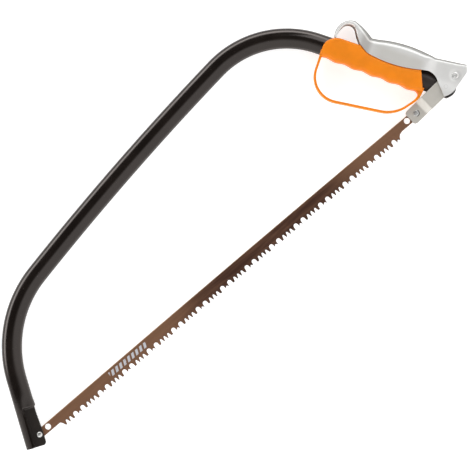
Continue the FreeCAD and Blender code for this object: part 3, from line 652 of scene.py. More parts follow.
def tube_patches():
    """Section (y, +-z) carried along the path, y towards the outside of the bow. At the front end the inner
    half is pressed flat and slotted: y and z go from the pressed section to the oval with s(x) over the
    shoulder, and a shallow dent d exp(-x^2) exp(-y^2) fades out behind it."""
    pieces = tube_pieces()
    length = path_length(pieces)
    shoulder_end, fine_end = 56.0, 90.0
    along = np.concatenate([np.linspace(0, PRESSED_LENGTH, 64)[:-1],
                            np.linspace(PRESSED_LENGTH, shoulder_end, 28)[:-1],
                            np.linspace(shoulder_end, fine_end, 24)[:-1],
                            np.linspace(fine_end, length, 270)])
    meet = math.degrees(math.atan2(TUBE_SIDE_R - TUBE_HALF_DEPTH, END_CENTRE))
    end_y = END_CENTRE + TUBE_END_R * np.cos(np.radians(np.linspace(0, meet, 9)))
    y = np.concatenate([-end_y, np.linspace(-OVAL_JOIN, PRESS_BAND[0], 15)[1:],
                        np.linspace(*PRESS_BAND, 13)[1:], np.linspace(PRESS_BAND[1], OVAL_JOIN, 9)[1:],
                        end_y[::-1][1:]])
    edge = np.interp(along, *np.transpose(INNER_EDGE))
    x_grid, y_grid = np.meshgrid(along, y, indexing="ij")
    across = np.where(y_grid < 0, y_grid * (edge / TUBE_HALF_WIDTH)[:, None], y_grid)
    oval = oval_height(y_grid)
    rise = smooth((y_grid - CREASE_Y + 0.4) / 1.7)
    pressed = NOSE_WALL_OUT + np.maximum(oval - NOSE_WALL_OUT, 0.0) * rise
    pressed = np.where(y_grid > PRESS_BAND[1], oval, pressed)
    round_part = smooth((x_grid - SHOULDER_FROM) / SHOULDER_LENGTH)
    lip_y, lip_z = np.transpose(SLOT_LIP)
    pressed[:, :len(SLOT_LIP)] = lip_z
    pressed_y = across.copy()
    pressed_y[:, :len(SLOT_LIP)] = -edge[:, None] + lip_y
    slot_z = NOSE_WALL_IN * (1 - smooth((along - SLOT_END) / 1.2))
    pressed[:, 0] = slot_z
    z = pressed * (1 - round_part) + oval * round_part
    z[:, 0] = np.where(along > SLOT_END + 1.2, 0.0, z[:, 0])
    yy = pressed_y * (1 - round_part) + across * round_part
    dent_x = np.exp(-((x_grid - DENT_AT[0]) / DENT_SPREAD[0]) ** 2)
    dent_y = np.exp(-((y_grid - DENT_AT[1]) / DENT_SPREAD[1]) ** 2)
    z -= DENT_DEPTH * dent_x * dent_y * smooth((x_grid - DENT_AT[0] + 1.0) / 2.0)
    from_edge = np.clip(FRONT_CORNER_R - (yy + edge[:, None]), 0, FRONT_CORNER_R)
    cut_back = FRONT_CORNER_R - np.sqrt(np.maximum(FRONT_CORNER_R ** 2 - from_edge ** 2, 0.0))
    lead = cut_back * np.clip(1 - x_grid / 10.0, 0, 1)
    place, angle = walk(pieces, along)

    def carried(rows, ys, zs, ahead):
        side, front = heading(angle[rows] + 90.0)[:, None], heading(angle[rows])[:, None]
        flat = place[rows][:, None] + ys[..., None] * side + ahead[..., None] * front
        return np.concatenate([flat, zs[..., None]], -1)

    every = np.arange(len(along))
    upper = carried(every, yy, z, lead)
    lower = carried(every, yy, -z, lead)[:, ::-1][:, 1:]
    outer = np.concatenate([upper, lower], 1)
    hollow = np.flatnonzero(along <= SLOT_END)
    slope = np.gradient(oval, axis=1) / np.gradient(y_grid, axis=1)
    normal = np.stack([-slope, np.ones_like(slope)], -1) / np.hypot(slope, 1.0)[..., None]
    shrink = (TUBE_END_R - TUBE_WALL) / TUBE_END_R
    far_y = np.where(y_grid > PRESS_BAND[1], y_grid - TUBE_WALL * normal[..., 0], y_grid)
    far_y = np.where(y_grid > OVAL_JOIN, END_CENTRE + (y_grid - END_CENTRE) * shrink, far_y)
    far_z = np.where(y_grid > OVAL_JOIN, oval * shrink, oval - TUBE_WALL * normal[..., 1])
    share = smooth((y_grid - 3.3) / 1.4)
    in_z = NOSE_WALL_IN * (1 - share) + far_z * share
    in_y = np.where(y_grid > PRESS_BAND[1], far_y, yy)
    in_z[:, 0] = slot_z
    upper = carried(hollow, in_y[hollow], in_z[hollow], lead[hollow])
    lower = carried(hollow, in_y[hollow], -in_z[hollow], lead[hollow])[:, ::-1][:, 1:]
    inner = np.concatenate([upper, lower], 1)
    return [patch(outer), patch(inner), patch(np.stack([outer[0], inner[0]]))]


def make_tube(settings):
    """The whole frame tube."""
    tube = make_piece("tube_painted", tube_patches(), "frame", ["frame_tube"],
                      finish("tube_paint", settings), crease=38.0)
    return [tube]


# ---------------------------------------------------------------- blade
TIP_Y = -12.5
RAKER_TIP_Y = -11.7
TEETH = (34.0, 571.0)
TOOTH_GROUP = 39.43
FIRST_RAKER = 56.4
PEG_PITCH = 5.8
HOLE_R = 3.7
REAR_HOLE_R = 3.6
SPARE_PITCH = 14.5
NECK_Y = -5.3
BACK_Y = 5.7
END_R = 7.0
NOWHERE = -99.0
# Lower edge of the blank in front of the teeth, and behind the last one measured from it: (x, y).
FRONT_STEP = [(0, NECK_Y), (28.5, NECK_Y), (29.6, -5.8), (30.8, -7.4), (31.9, -9.6), (32.6, -11.6),
              (34.0, TIP_Y)]
REAR_STEP = [(0.0, TIP_Y), (1.0, -11.0), (2.2, -8.6), (4.5, -6.4), (9.0, NECK_Y)]
# Tooth spaces as (top of the root, radius, half-width at the mouth), and the rakers' split tips.
DEEP_GULLET = (-6.1, 2.9, 3.3)
PEG_GULLET = (-7.2, 1.15, PEG_PITCH / 2 - 0.25)
DEEP_GULLET_AWAY = 5.7
FIRST_PEG_GULLET = 13.9
RAKER_SPLIT_Y = -9.9
RAKER_TIPS = [(-3.6, NOWHERE), (-2.0, RAKER_TIP_Y), (-0.5, RAKER_SPLIT_Y), (0.5, RAKER_SPLIT_Y),
              (2.0, RAKER_TIP_Y), (3.6, NOWHERE)]
RAKER_HALF = 2.4
RAKER_SPACE_HALF = 3.4
FILED_BELOW = -6.6
FILED_WIDTH = 0.9
FILED_THINNER = 0.55
SET_BELOW = -7.8


def blade_back(x):
    """Back edge: y = 5.7 + 1.1 (1 - ((x - c) / c)^2), a very flat arc."""
    half = BLADE_HOLES / 2
    return BACK_Y + 1.1 * (1 - ((np.clip(x, 0, BLADE_HOLES) - half) / half) ** 2)


def gullet(x, centre, top, radius, mouth):
    """Round tooth space y = top - r + sqrt(r^2 - dx^2), straight to its mouth below the root's centre."""
    dx = np.abs(x - centre)
    root = top - radius + np.sqrt(np.maximum(radius ** 2 - dx ** 2, 0.0))
    drop = (dx - radius) / (mouth - radius) * (top - radius - TIP_Y + 0.4)
    return np.where(dx < radius, root, np.where(dx < mouth, top - radius - drop, NOWHERE))


def cutting_edge(x):
    """Lower edge of the blade: the highest of the blank's edge and every tooth space at x."""
    start, end = TEETH
    blank = FRONT_STEP + [(end + away, height) for away, height in REAR_STEP] + [(BLADE_HOLES, NECK_Y)]
    y = np.interp(x, *np.transpose(blank))
    for raker in np.arange(FIRST_RAKER, end + 1.0, TOOTH_GROUP):
        y = np.maximum(y, gullet(x, raker - DEEP_GULLET_AWAY, *DEEP_GULLET))
        if raker + DEEP_GULLET_AWAY + DEEP_GULLET[1] < end:
            y = np.maximum(y, gullet(x, raker + DEEP_GULLET_AWAY, *DEEP_GULLET))
        tips = np.interp(x - raker, *np.transpose(RAKER_TIPS))
        y = np.where(np.abs(x - raker) < RAKER_HALF, np.maximum(y, tips), y)
        for k in range(3):
            centre = raker + FIRST_PEG_GULLET + k * PEG_PITCH
            if centre < end:
                y = np.maximum(y, gullet(x, centre, *PEG_GULLET))
    for k in range(2):
        y = np.maximum(y, gullet(x, start + (k + 0.5) * PEG_PITCH, *PEG_GULLET))
    return y


def hole_block(centre, hole_r, left, right, rows, round_end=0):
    """Patch from a round hole to the edge of its stretch of blade: p = h + t (q - h) for points q of the edge
    and points h of the hole in the same direction. round_end -1 or 1 makes that end half round."""

    def side(x, up):
        line = np.stack([np.full(rows + 1, x), np.linspace(NECK_Y, blade_back(x), rows + 1)], 1)
        return line if up else line[::-1]

    top = np.linspace(right, left, 17)
    upper = np.stack([top, blade_back(top)], 1)
    lower = np.stack([top[::-1], np.full(17, NECK_Y)], 1)
    far_left, far_right = side(left, False), side(right, True)
    if round_end < 0:
        far_left = arc_through((0.0, BACK_Y), (-END_R, HOLE_Y), (0.0, NECK_Y), 24)
    if round_end > 0:
        tip = (BLADE_HOLES + END_R, HOLE_Y)
        far_right = arc_through((BLADE_HOLES, NECK_Y), tip, (BLADE_HOLES, BACK_Y), 24)
    ring = np.concatenate([far_right, upper[1:], far_left[1:], lower[1:-1]])
    toward = ring - np.array([centre, HOLE_Y])
    hole = np.array([centre, HOLE_Y]) + hole_r * toward / np.hypot(*toward.T)[:, None]
    t = np.linspace(0, 1, 6)[:, None, None]
    flat = hole[None] * (1 - t) + ring[None] * t
    return patch(np.concatenate([flat, np.zeros(flat.shape[:2] + (1,))], -1), wrap_cols=True)


def blade_patches(settings):
    """Flat patches given a thickness: holes at the ends, and between the cutting edge e and the back b
    y = e(x) + t^1.7 (b(x) - e(x)), evenly spaced where there are no teeth. Round the teeth the faces are
    filed thinner towards the edge, and the points lean to either side in turn."""
    rows = 20
    mid = SPARE_PITCH / 2
    left, right = SPARE_PITCH + mid, BLADE_HOLES - SPARE_PITCH - mid
    toothed = (28.0, 582.0)
    x = np.concatenate([np.linspace(left, toothed[0], 10)[:-1], np.linspace(*toothed, 1650)[:-1],
                        np.linspace(toothed[1], right, 5)])
    t = np.linspace(0, 1, rows + 1)
    low, high = cutting_edge(x), blade_back(x)
    bend = smooth(NECK_Y - low)[:, None]
    shares = t[None] * (1 - bend) + t[None] ** 1.7 * bend
    y = low[:, None] + shares * (high - low)[:, None]
    main = np.stack([np.broadcast_to(x[:, None], y.shape), y, np.zeros_like(y)], -1)
    blocks = [
        hole_block(0.0, HOLE_R, 0.0, mid, rows, -1),
        hole_block(SPARE_PITCH, HOLE_R, mid, left, rows),
        patch(main),
        hole_block(BLADE_HOLES - SPARE_PITCH, HOLE_R, right, BLADE_HOLES - mid, rows),
        hole_block(BLADE_HOLES, REAR_HOLE_R, BLADE_HOLES - mid, BLADE_HOLES, rows, 1),
    ]
    fine_x = np.linspace(0, BLADE_HOLES, 6071)
    fine_low = cutting_edge(fine_x)
    steep = np.convolve(np.abs(np.gradient(fine_low, fine_x)), np.ones(9) / 9, "same")

    half = settings.blade_thickness / MM / 2
    tooth_set = settings.tooth_set / MM

    def toothed_part(px):
        return (px > TEETH[0] - 3) & (px < TEETH[1] + 2)

    def to_edge(px, py):
        above = py - np.interp(px, fine_x, fine_low)
        return np.maximum(above, 0) / np.hypot(1.0, np.interp(px, fine_x, steep))

    def filed(px, py):
        teeth = (py < FILED_BELOW) & toothed_part(px)
        return np.where(teeth, 1 - smooth(to_edge(px, py) / FILED_WIDTH), 0.0)

    def lean(px, py):
        side = np.sign(np.sin(np.pi * (px - FIRST_RAKER) / PEG_PITCH + 0.35))
        from_raker = np.abs((px - FIRST_RAKER + TOOTH_GROUP / 2) % TOOTH_GROUP - TOOTH_GROUP / 2)
        straight = (from_raker < RAKER_SPACE_HALF) | ~toothed_part(px)
        return np.where(straight, 0.0, side * tooth_set * smooth((SET_BELOW - py) / 4.0))

    def top(px, py):
        return half * (1 - FILED_THINNER * filed(px, py)) + lean(px, py)

    def bottom(px, py):
        return -half * (1 - FILED_THINNER * filed(px, py)) + lean(px, py)

    points, faces = sheet_solid(blocks, top, bottom)
    return [(points, faces)], {"filed": filed(points[:, 0], points[:, 1])}


def make_blade(settings):
    """The saw blade with its teeth and holes."""
    patches, marks = blade_patches(settings)
    return [make_piece("blade_lacquered", patches, "blade", ["saw_blade"],
                       finish("blade_coating", settings), crease=28.0, marks=marks)]


# ---------------------------------------------------------------- lever
LEVER_OUT = 12.5
LEVER_SHEET = 1.5
POCKET_DEPTH = 1.4
# The lever's lines as (u, v) from its pivot, where a pair (middle, end) is an arc. The knots share out the
# points of both lines alike, so that the section stays square to the lever.
LEVER_TOP = [
    (-15.3, -33.9), (23.1, -29.3), ((58.4, -33.0), (94.3, -28.6)), (104.3, -27.0),
    ((114.4, -33.4), (130.4, -39.9)), ((145.9, -31.4), (148.3, -13.5))]
LEVER_TOP_KNOTS = [
    (-15.3, -33.9), (-6.0, -32.8), (9.0, -31.0), (23.1, -29.3), (94.3, -28.6), (104.3, -27.0), (114.4, -33.4),
    (122.5, -37.2), (131.5, -39.8), (139.0, -37.9), (145.0, -32.6), (147.6, -22.0), (148.3, -13.5)]
LEVER_LOW = [
    (-12.3, -2.4), ((-9.6, 4.4), (-1.8, 12.0)), (12.6, -4.3), ((17.7, -8.8), (26.4, -11.3)), (34.9, -9.9),
    ((72.0, -4.9), (104.4, -8.0)), (115.8, -15.0), (122.2, -22.5), (126.3, -29.1),
    ((134.9, -33.8), (142.8, -28.3)), ((145.4, -21.0), (145.7, -13.4))]
LEVER_LOW_KNOTS = [
    (-12.3, -2.4), (-1.8, 12.0), (12.6, -4.3), (26.4, -11.3), (97.0, -7.1), (112.5, -13.0), (121.0, -21.1),
    (125.8, -28.3), (132.3, -33.4), (137.5, -33.2), (142.0, -29.6), (145.2, -21.0), (145.7, -13.4)]
LEVER_COUNTS = [18, 18, 16, 62, 12, 14, 10, 12, 8, 10, 12, 10]
LEVER_REAR = [(-15.3, -33.9), (-18.9, -24.8), (-12.3, -2.4)]
LINK_RIVET_UV = (-6.15, -16.7)
DISH_DEPTH = 0.35
REAR_STEPS = np.linspace(0, 1, 101)
HOOK_FROM = sum(LEVER_COUNTS[:5])
HOOK_ROLL = 2.6
WIDEST_CORNER = 0.42


def pocket_depth(u, v):
    """Depth of the pressed-in rear, 1.4 s(a) s(b), and of the shallow dish round the link's rivet: a goes
    across the band from u = 32.2 + 0.235 (v + 19.5) back to u = 17.8 - 0.175 (v + 20), b up from v = 6.5."""
    front = 32.2 + (v + 19.5) * 0.235
    back = 17.8 - (v + 20.0) * 0.175
    band = smooth((front - u) / (front - back))
    lower = smooth((6.5 - v) / 17.0)
    away = np.hypot(u - LINK_RIVET_UV[0], v - LINK_RIVET_UV[1])
    return POCKET_DEPTH * band * lower + DISH_DEPTH * (1 - smooth((away - 4.6) / 3.2))


def lever_patches():
    """Channel section carried along the lever: p = (1 - t) A + t B between its top line A and its lower
    line B. z follows the outside z = 12.5 - d(u, v), rounded into the back and, at the hook, the lip."""
    top_line = matched(trace(LEVER_TOP), LEVER_TOP_KNOTS, LEVER_COUNTS)
    low_line = matched(trace(LEVER_LOW), LEVER_LOW_KNOTS, LEVER_COUNTS)
    span = np.hypot(*(low_line - top_line).T)
    stations = len(span)
    s = np.arange(stations) / stations
    rear = spaced(trace(LEVER_REAR), REAR_STEPS)
    straight = rear[0] + REAR_STEPS[:, None] * (rear[-1] - rear[0])
    hook = smooth((np.arange(stations) - HOOK_FROM) / 26.0)
    corner = 4.2 + 3.3 * smooth((top_line[:, 0] - 24.0) / 14.0)
    corner = np.minimum(corner, WIDEST_CORNER * span) * (1 - 0.25 * smooth(1 - s * 9))
    roll = hook * np.minimum(HOOK_ROLL, WIDEST_CORNER * span)
    side = 1 - np.linspace(0, 1, 44)
    turn = np.radians(np.linspace(0, 90, 11))[1:]

    def section(inner):
        sheet = LEVER_SHEET if inner else 0.0
        round_r = np.maximum(corner - sheet, 0.15)[:, None]
        flat_w = corner[:, None] + side[None] * (span - corner)[:, None]
        arc_w = corner[:, None] - round_r * np.sin(turn)
        drop = round_r * (1 - np.cos(turn))
        w = np.concatenate([flat_w, arc_w], 1)
        down = np.concatenate([np.zeros_like(flat_w), drop], 1)
        lip = np.clip((w - (span - roll)[:, None]) / np.maximum(roll, 1e-6)[:, None], 0, 1)
        down = down + roll[:, None] * (1 - np.sqrt(1 - np.minimum(lip, 0.985) ** 2)) * (roll[:, None] > 0.01)
        share = w / span[:, None]
        uv = top_line[:, None] * (1 - share[..., None]) + low_line[:, None] * share[..., None]
        bulge = np.stack([np.interp(share, REAR_STEPS, (rear - straight)[:, k]) for k in (0, 1)], -1)
        uv = uv + bulge * (1 - smooth(s * 12))[:, None, None]
        channel = smooth((uv[..., 0] - 30.0) / 14.0)
        hollow = channel * np.clip(0.62 - share, 0, 1) ** 2
        z = LEVER_OUT - pocket_depth(uv[..., 0], uv[..., 1]) - hollow - sheet - down
        return np.concatenate([uv, z[..., None]], -1)

    web = np.linspace(1, -1, 9)[1:-1]

    def across(half):
        edge = half[:, -1]
        bridge = np.repeat(edge[:, None], len(web), 1)
        bridge[..., 2] = edge[:, 2:3] * web
        other = half[:, ::-1].copy()
        other[..., 2] *= -1
        return np.concatenate([half, bridge, other], 1)

    outer, inner = across(section(False)), across(section(True))
    loop = np.concatenate([outer, inner[:, ::-1]], 1)
    flats = side.size
    turned = np.concatenate([np.zeros(flats), np.linspace(0, 1, turn.size), np.ones(len(web)),
                             np.linspace(1, 0, turn.size), np.zeros(flats)])
    # The hook's free edges join the rolled mark, so painted shade runs along them as well.
    lip = np.concatenate([np.clip(1 - np.arange(flats) / 6.0, 0, 1), np.zeros(turn.size)])
    lip = hook[:, None] * lip[None]
    edges = turned[None] + np.concatenate([lip, np.zeros((stations, len(web))), lip[:, ::-1]], 1)
    ends = [patch(at_handle(np.stack([outer[k], inner[k]]))) for k in (0, -1)]
    rolled = np.concatenate([np.concatenate([edges, edges[:, ::-1]], 1).ravel(), np.tile(edges[0], 2),
                             np.tile(edges[-1], 2)])
    return [patch(at_handle(loop), wrap_cols=True)] + ends, {"rolled": np.clip(rolled, 0, 1)}


def make_lever(settings):
    """The tension lever with its finger hook."""
    patches, marks = lever_patches()
    return [make_piece("lever_pressing", patches, "lever", ["tension_lever"],
                       finish("lever_steel", settings), crease=40.0, marks=marks)]


# ---------------------------------------------------------------- grip and guard
GRIP_HALF = 13.3
FINGER_PITCH = 23.6
FIRST_RIDGE = 43.0
FINGERS = (37.1, 155.1)
SADDLE = (34.5, 119.0)
SADDLE_EDGES = (-14.2, -3.0)
SADDLE_HALF = 10.6
GRIP_TOP = [
    (34.9, -9.4), ((72.0, -4.4), (104.4, -7.5)), (115.4, -14.2), (138.5, -14.2),
    ((151.0, -10.2), (158.0, -1.2))]
GRIP_FRONT = [(24.6, 15.0)]
GRIP_REAR = [(157.0, 12.9), (158.2, 10.6)]
GUARD_LINE = [(156.8, 5.6), (156.4, 65.3), (47.7, 51.6), (26.7, 24.0), (26.2, 10.0)]
GUARD_RADII = [31.0, 42.0, 21.0]
GUARD_HALF_DEPTH = 8.0
GUARD_EDGE_R = 0.9


def finger_side(u, wave_height):
    """v = 16.4 - 0.024 (u - 43) + w sin(2 pi (u - 37.1) / 23.6), with w the height of the finger waves."""
    fingers = (u > FINGERS[0]) & (u < FINGERS[1])
    wave = np.where(fingers, np.sin(2 * np.pi * (u - FINGERS[0]) / FINGER_PITCH), 0.0)
    return 16.4 - 0.024 * (u - FIRST_RIDGE) + wave_height * wave


def rounded_section(low_r, high_r, half, count=9):
    """Half section as arrays: share of the width, corner offset and height for two rounded corners."""
    a = np.radians(np.linspace(0, 90, count))
    start = np.stack([np.zeros(count), low_r * (1 - np.cos(a)), half - low_r * (1 - np.sin(a))], 1)
    flat = np.stack([np.linspace(0, 1, 18), np.linspace(low_r, -high_r, 18), np.full(18, half)], 1)[1:-1]
    b = a[::-1]
    end = np.stack([np.ones(count), -high_r * (1 - np.cos(b)), half - high_r * (1 - np.sin(b))], 1)
    return np.concatenate([start, flat, end])


def moulded(top_line, low_line, low_r, high_r, half, end_r, crown):
    """Rounded bar between two lines: p = A + (w0 L + w1) (B - A) / L, height z, each end drawn in along a
    quarter circle e - sqrt(e^2 - x^2), sides crowned by c (1 - (2 w - 1)^2)."""
    gap = low_line - top_line
    length = np.hypot(*gap.T)[:, None]
    direction = gap / length
    shape = rounded_section(low_r, high_r, half)
    middle = (top_line + low_line) / 2
    run = np.concatenate([[0.0], np.cumsum(np.hypot(*np.diff(middle, axis=0).T))])
    x = np.minimum(run, run[-1] - run)
    draw = (end_r - np.sqrt(np.maximum(end_r ** 2 - np.clip(end_r - x, 0, end_r) ** 2, 0.0)))[:, None]
    w = shape[None, :, 0] * length + shape[None, :, 1]
    w = draw + w * (length - 2 * draw) / length
    share = w / length
    z = shape[None, :, 2] * (1 - draw / half) - crown * (2 * share - 1) ** 2
    flat = top_line[:, None] + w[..., None] * direction[:, None]
    upper = np.concatenate([flat, z[..., None]], -1)
    lower = upper[:, ::-1].copy()
    lower[..., 2] *= -1
    return np.concatenate([upper, lower], 1)


def grip_patches(wave_height):
    """The hand grip, the saddle under the lever and the fillet at the guard's lower root, as closed bars
    that run into each other."""
    end_stops = np.array([0.0, 0.002, 0.006, 0.012, 0.02, 0.03])
    stops = np.concatenate([end_stops, np.linspace(0.035, 0.965, 170), 1 - end_stops[::-1]])
    top = spaced(trace(GRIP_TOP), stops)
    u = np.linspace(*FINGERS, 400)
    low = np.concatenate([GRIP_FRONT, np.stack([u, finger_side(u, wave_height)], 1), GRIP_REAR])
    hand = moulded(top, spaced(low, stops), 2.6, 5.5, GRIP_HALF, 2.0, 0.9)
    saddle_u = np.linspace(*SADDLE, 60)
    saddle_top, saddle_low = (np.stack([saddle_u, np.full(60, v)], 1) for v in SADDLE_EDGES)
    saddle = moulded(saddle_top, saddle_low, 3.0, 1.0, SADDLE_HALF, 1.2, 0.0)
    fillet = np.concatenate([arc_through((34.6, 16.0), (29.7, 18.1), (27.4, 23.0), 12),
                             [(25.4, 23.0), (24.9, 14.0), (34.6, 14.0)]])
    rings = slab_rings(fillet, 0.4 - GUARD_HALF_DEPTH, GUARD_HALF_DEPTH - 0.4, 0.5)
    return [patch(at_handle(hand), wrap_cols=True), patch(at_handle(saddle), wrap_cols=True),
            patch(at_handle(rings), wrap_cols=True)]


def guard_patches(half_thick):
    """Rounded strip section (y, z), 16 deep, carried along the guard's line. It grows thicker at its roots:
    y (1 + 0.35 exp(-(s / 9)^2) + 0.45 exp(-((L - s) / 12)^2))."""
    pieces = path_pieces(GUARD_LINE, GUARD_RADII)
    length = path_length(pieces)
    at = np.linspace(0, length, 230)
    place, angle = walk(pieces, at)
    flare = 1 + 0.35 * np.exp(-(at / 9.0) ** 2) + 0.45 * np.exp(-((length - at) / 12.0) ** 2)
    a = np.radians(np.linspace(0, 90, 6))
    quarter = np.stack([half_thick - GUARD_EDGE_R + GUARD_EDGE_R * np.cos(a),
                        GUARD_HALF_DEPTH - GUARD_EDGE_R + GUARD_EDGE_R * np.sin(a)], 1)
    half = np.concatenate([quarter, (quarter * [-1, 1])[::-1]])
    loop = np.concatenate([half, (half * [1, -1])[::-1]])
    flat = place[:, None] + (loop[None, :, 0:1] * flare[:, None, None]) * heading(angle + 90.0)[:, None]
    z = np.broadcast_to(loop[None, :, 1:2], flat.shape[:2] + (1,))
    return [patch(at_handle(np.concatenate([flat, z], -1)), wrap_cols=True)]


def make_grip(settings):
    """The moulded grip and its knuckle guard."""
    patches = grip_patches(settings.finger_waves / MM) + guard_patches(settings.guard_thickness / MM / 2)
    return [make_piece("grip_moulding", patches, "frame", ["handle_grip"],
                       finish("grip_plastic", settings), crease=50.0)]


# ---------------------------------------------------------------- link
LINK_HALF = 9.9
LINK_IN = 7.8
BLADE_CHEEK = 0.6
LINK_SHEET = 1.5
FOLD = (47.4, 57.0)
LINK_TAIL = 10.3
NOTCH = (13.99, 21.59)
NOTCH_HALF = 3.8
RIVET_HOLE_R = 2.65
TAIL_CORNER_R = 4.0


def link_inside(x):
    """Inner face of a cheek: 7.8 beside the tube, a straight slope, and 0.6 beside the blade. It is the
    mean over a short length of x, which eases both bends."""
    ease = 1.2
    t = np.linspace(-ease, ease, 9)
    low, high = FOLD
    return np.mean([np.interp(x + k, [low, high], [LINK_IN, BLADE_CHEEK]) for k in t], 0)


def link_blocks():
    """Flat patches: p = r (cos a, sin a) round the link's pivot as far as the notch for the lever's pivot,
    with its open side where the distance to that pivot is the notch's radius, then rows to the tail."""
    length = math.dist(LINK_PIVOT, REAR_HOLE) + LINK_TAIL
    away = math.dist(LEVER_PIVOT, LINK_PIVOT)
    world = math.degrees(math.atan2(*(LEVER_PIVOT - LINK_PIVOT)[::-1]))
    seat = math.radians(world - link_angle())
    near, far = NOTCH
    edge_near = math.asin(LINK_HALF / near)

    def open_side(r):
        return seat + math.acos(np.clip((r * r + away ** 2 - NOTCH_HALF ** 2) / (2 * r * away), -1, 1))

    neck_a = open_side(near)
    corners = (-math.pi, -edge_near, neck_a, edge_near, math.pi)
    rim = np.concatenate([np.linspace(a, b, count)[:-1]
                          for a, b, count in zip(corners, corners[1:], (36, 20, 9, 36))])
    reach = np.where(np.abs(rim) > math.pi / 2, LINK_HALF,
                     np.minimum(near, LINK_HALF / np.maximum(np.abs(np.sin(rim)), 1e-6)))
    t = np.linspace(0, 1, 7)[:, None]
    r = RIVET_HOLE_R + t * (reach - RIVET_HOLE_R)[None]
    head = np.stack([r * np.cos(rim), r * np.sin(rim), np.zeros_like(r)], -1)
    radii = np.linspace(near, far, 9)
    cols = np.linspace(0, 1, 9)
    begin = np.array([open_side(x) for x in radii])
    until = np.arcsin(LINK_HALF / radii)
    ang = begin[:, None] + cols[None] * (until - begin)[:, None]
    neck = np.stack([radii[:, None] * np.cos(ang), radii[:, None] * np.sin(ang), np.zeros_like(ang)], -1)
    y_neck = far * np.sin(ang[-1])
    y = np.concatenate([np.linspace(-LINK_HALF, y_neck[0], 17)[:-1], y_neck])
    start_x = np.sqrt(far ** 2 - y ** 2)
    from_edge = np.clip(TAIL_CORNER_R - (LINK_HALF - np.abs(y)), 0, TAIL_CORNER_R)
    cut = TAIL_CORNER_R - np.sqrt(np.maximum(TAIL_CORNER_R ** 2 - from_edge ** 2, 0.0))
    slope = (0.42, 0.70)
    share = np.concatenate([np.linspace(0, slope[0], 12)[:-1], np.linspace(*slope, 34)[:-1],
                            np.linspace(slope[1], 1, 14)])
    end_x = length - cut
    x = start_x[None] + share[:, None] * (end_x - start_x)[None]
    tail = np.stack([x, np.broadcast_to(y[None], x.shape), np.zeros_like(x)], -1)
    return [patch(head, wrap_cols=True), patch(neck), patch(tail)]


def make_link(settings):
    """Both cheeks of the link, mirrored in the middle plane."""
    steel = finish("link_steel", settings)
    points, faces = sheet_solid(link_blocks(), lambda x, y: link_inside(x) + LINK_SHEET,
                                lambda x, y: link_inside(x))
    made = []
    cheeks = (("right_cheek", "right_link_cheek", 1.0), ("left_cheek", "left_link_cheek", -1.0))
    for name, node, side in cheeks:
        placed = at_link(points) * [1, 1, side]
        made.append(make_piece(name, [(placed, faces)], "link", [node], steel, 30.0))
    return made


# ---------------------------------------------------------------- pins, rivets and plug
# Upper halves of the turned outlines as (radius, height), from the axis or the bore outwards.
FRONT_HEAD = [(0.0, 3.15), (1.4, 3.12), (2.4, 2.95), (3.0, 2.68), (3.28, 2.4), (3.35, 2.15), (2.0, 2.15)]
REAR_HEAD = [(0.0, 2.2), (3.0, 2.19), (3.35, 2.14), (3.5, 2.05)]
PIVOT_HEAD = [(0.0, 10.9), (2.2, 10.9), (2.38, 10.7)]
ROLLED_RIM = [
    (1.5, 11.6), (1.62, 11.9), (1.95, 12.08), (2.6, 12.1), (3.4, 12.02), (3.9, 11.75), (4.15, 11.4),
    (4.2, 11.1), (2.6, 11.1)]
# Each pin: its name, place, outline, body, node, whether it is a tube, and its sharpest smooth corner.
PINS = (
    ("front_pin_head", FRONT_PIN, FRONT_HEAD, "frame", "front_blade_pin", False, 40.0),
    ("rear_pin_flush", REAR_HOLE, REAR_HEAD, "link", "rear_blade_pin", False, 40.0),
    ("lever_pivot_pin", LEVER_PIVOT, PIVOT_HEAD, "frame", "lever_rivet", False, 40.0),
    ("link_rivet_rolled", LINK_PIVOT, ROLLED_RIM, "lever", "link_rivet", True, 50.0),
)
PLUG_R = 13.2
PLUG_EDGE_R = 1.4


def mirrored(half):
    """An outline and its mirror image in z = 0, in one run."""
    return half + [(r, -z) for r, z in reversed(half)]


def make_pins(settings):
    """Headed pins, rivets, the tube's end plug, and the finish of the small hidden bushes."""
    steel = finish("rivet_steel", settings)
    made = []
    for name, place, half, body, node, tubular, crease in PINS:
        turned = patch(lathe(place, mirrored(half)), wrap_rows=tubular, wrap_cols=True)
        made.append(make_piece(name, [turned], body, [node], steel, crease))
    limit = math.degrees(math.acos(TUBE_END_BACK / PLUG_R))
    arc = PLUG_R * heading(np.linspace(180 - limit, 180 + limit, 60))
    chord = np.linspace(arc[-1], arc[0], 20)[1:-1]
    rings = slab_rings(np.concatenate([arc, chord]), -TUBE_HALF_DEPTH, TUBE_HALF_DEPTH, PLUG_EDGE_R)
    plug = patch(at_handle(rings), wrap_cols=True)
    made.append(make_piece("end_plug_round", [plug], "frame", ["tube_end_plug"],
                           finish("plug_plastic", settings), 45.0))
    for node in ("pivot_sleeve", "link_spacer"):
        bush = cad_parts[node]
        for k in range(max(1, len(bush.material_slots))):
            if not bush.material_slots:
                bush.data.materials.append(steel)
            bush.material_slots[k].material = steel
    return made


# ---------------------------------------------------------------- stage
VIEW_CENTRE = (341.36, 30.83)
VIEW_WIDTH = 576.4
VIEW_TURN = -40.42
CAMERA_AWAY = 2500.0
FLOOR_HALF = 4000.0
ROOM_WHITE = (1.0, 0.985, 0.97, 1.0)
FLOOR_GREYS = ((0.60, 0.60, 0.60), (0.62, 0.62, 0.62))
# Soft boxes: name, place from the middle of the saw and side length in metres, power in watts.
SOFT_BOXES = (("key_box", (-1.5, -0.3, 0.6), 0.9, 5.0), ("fill_box", (1.3, 0.35, 1.2), 1.0, 6.0))


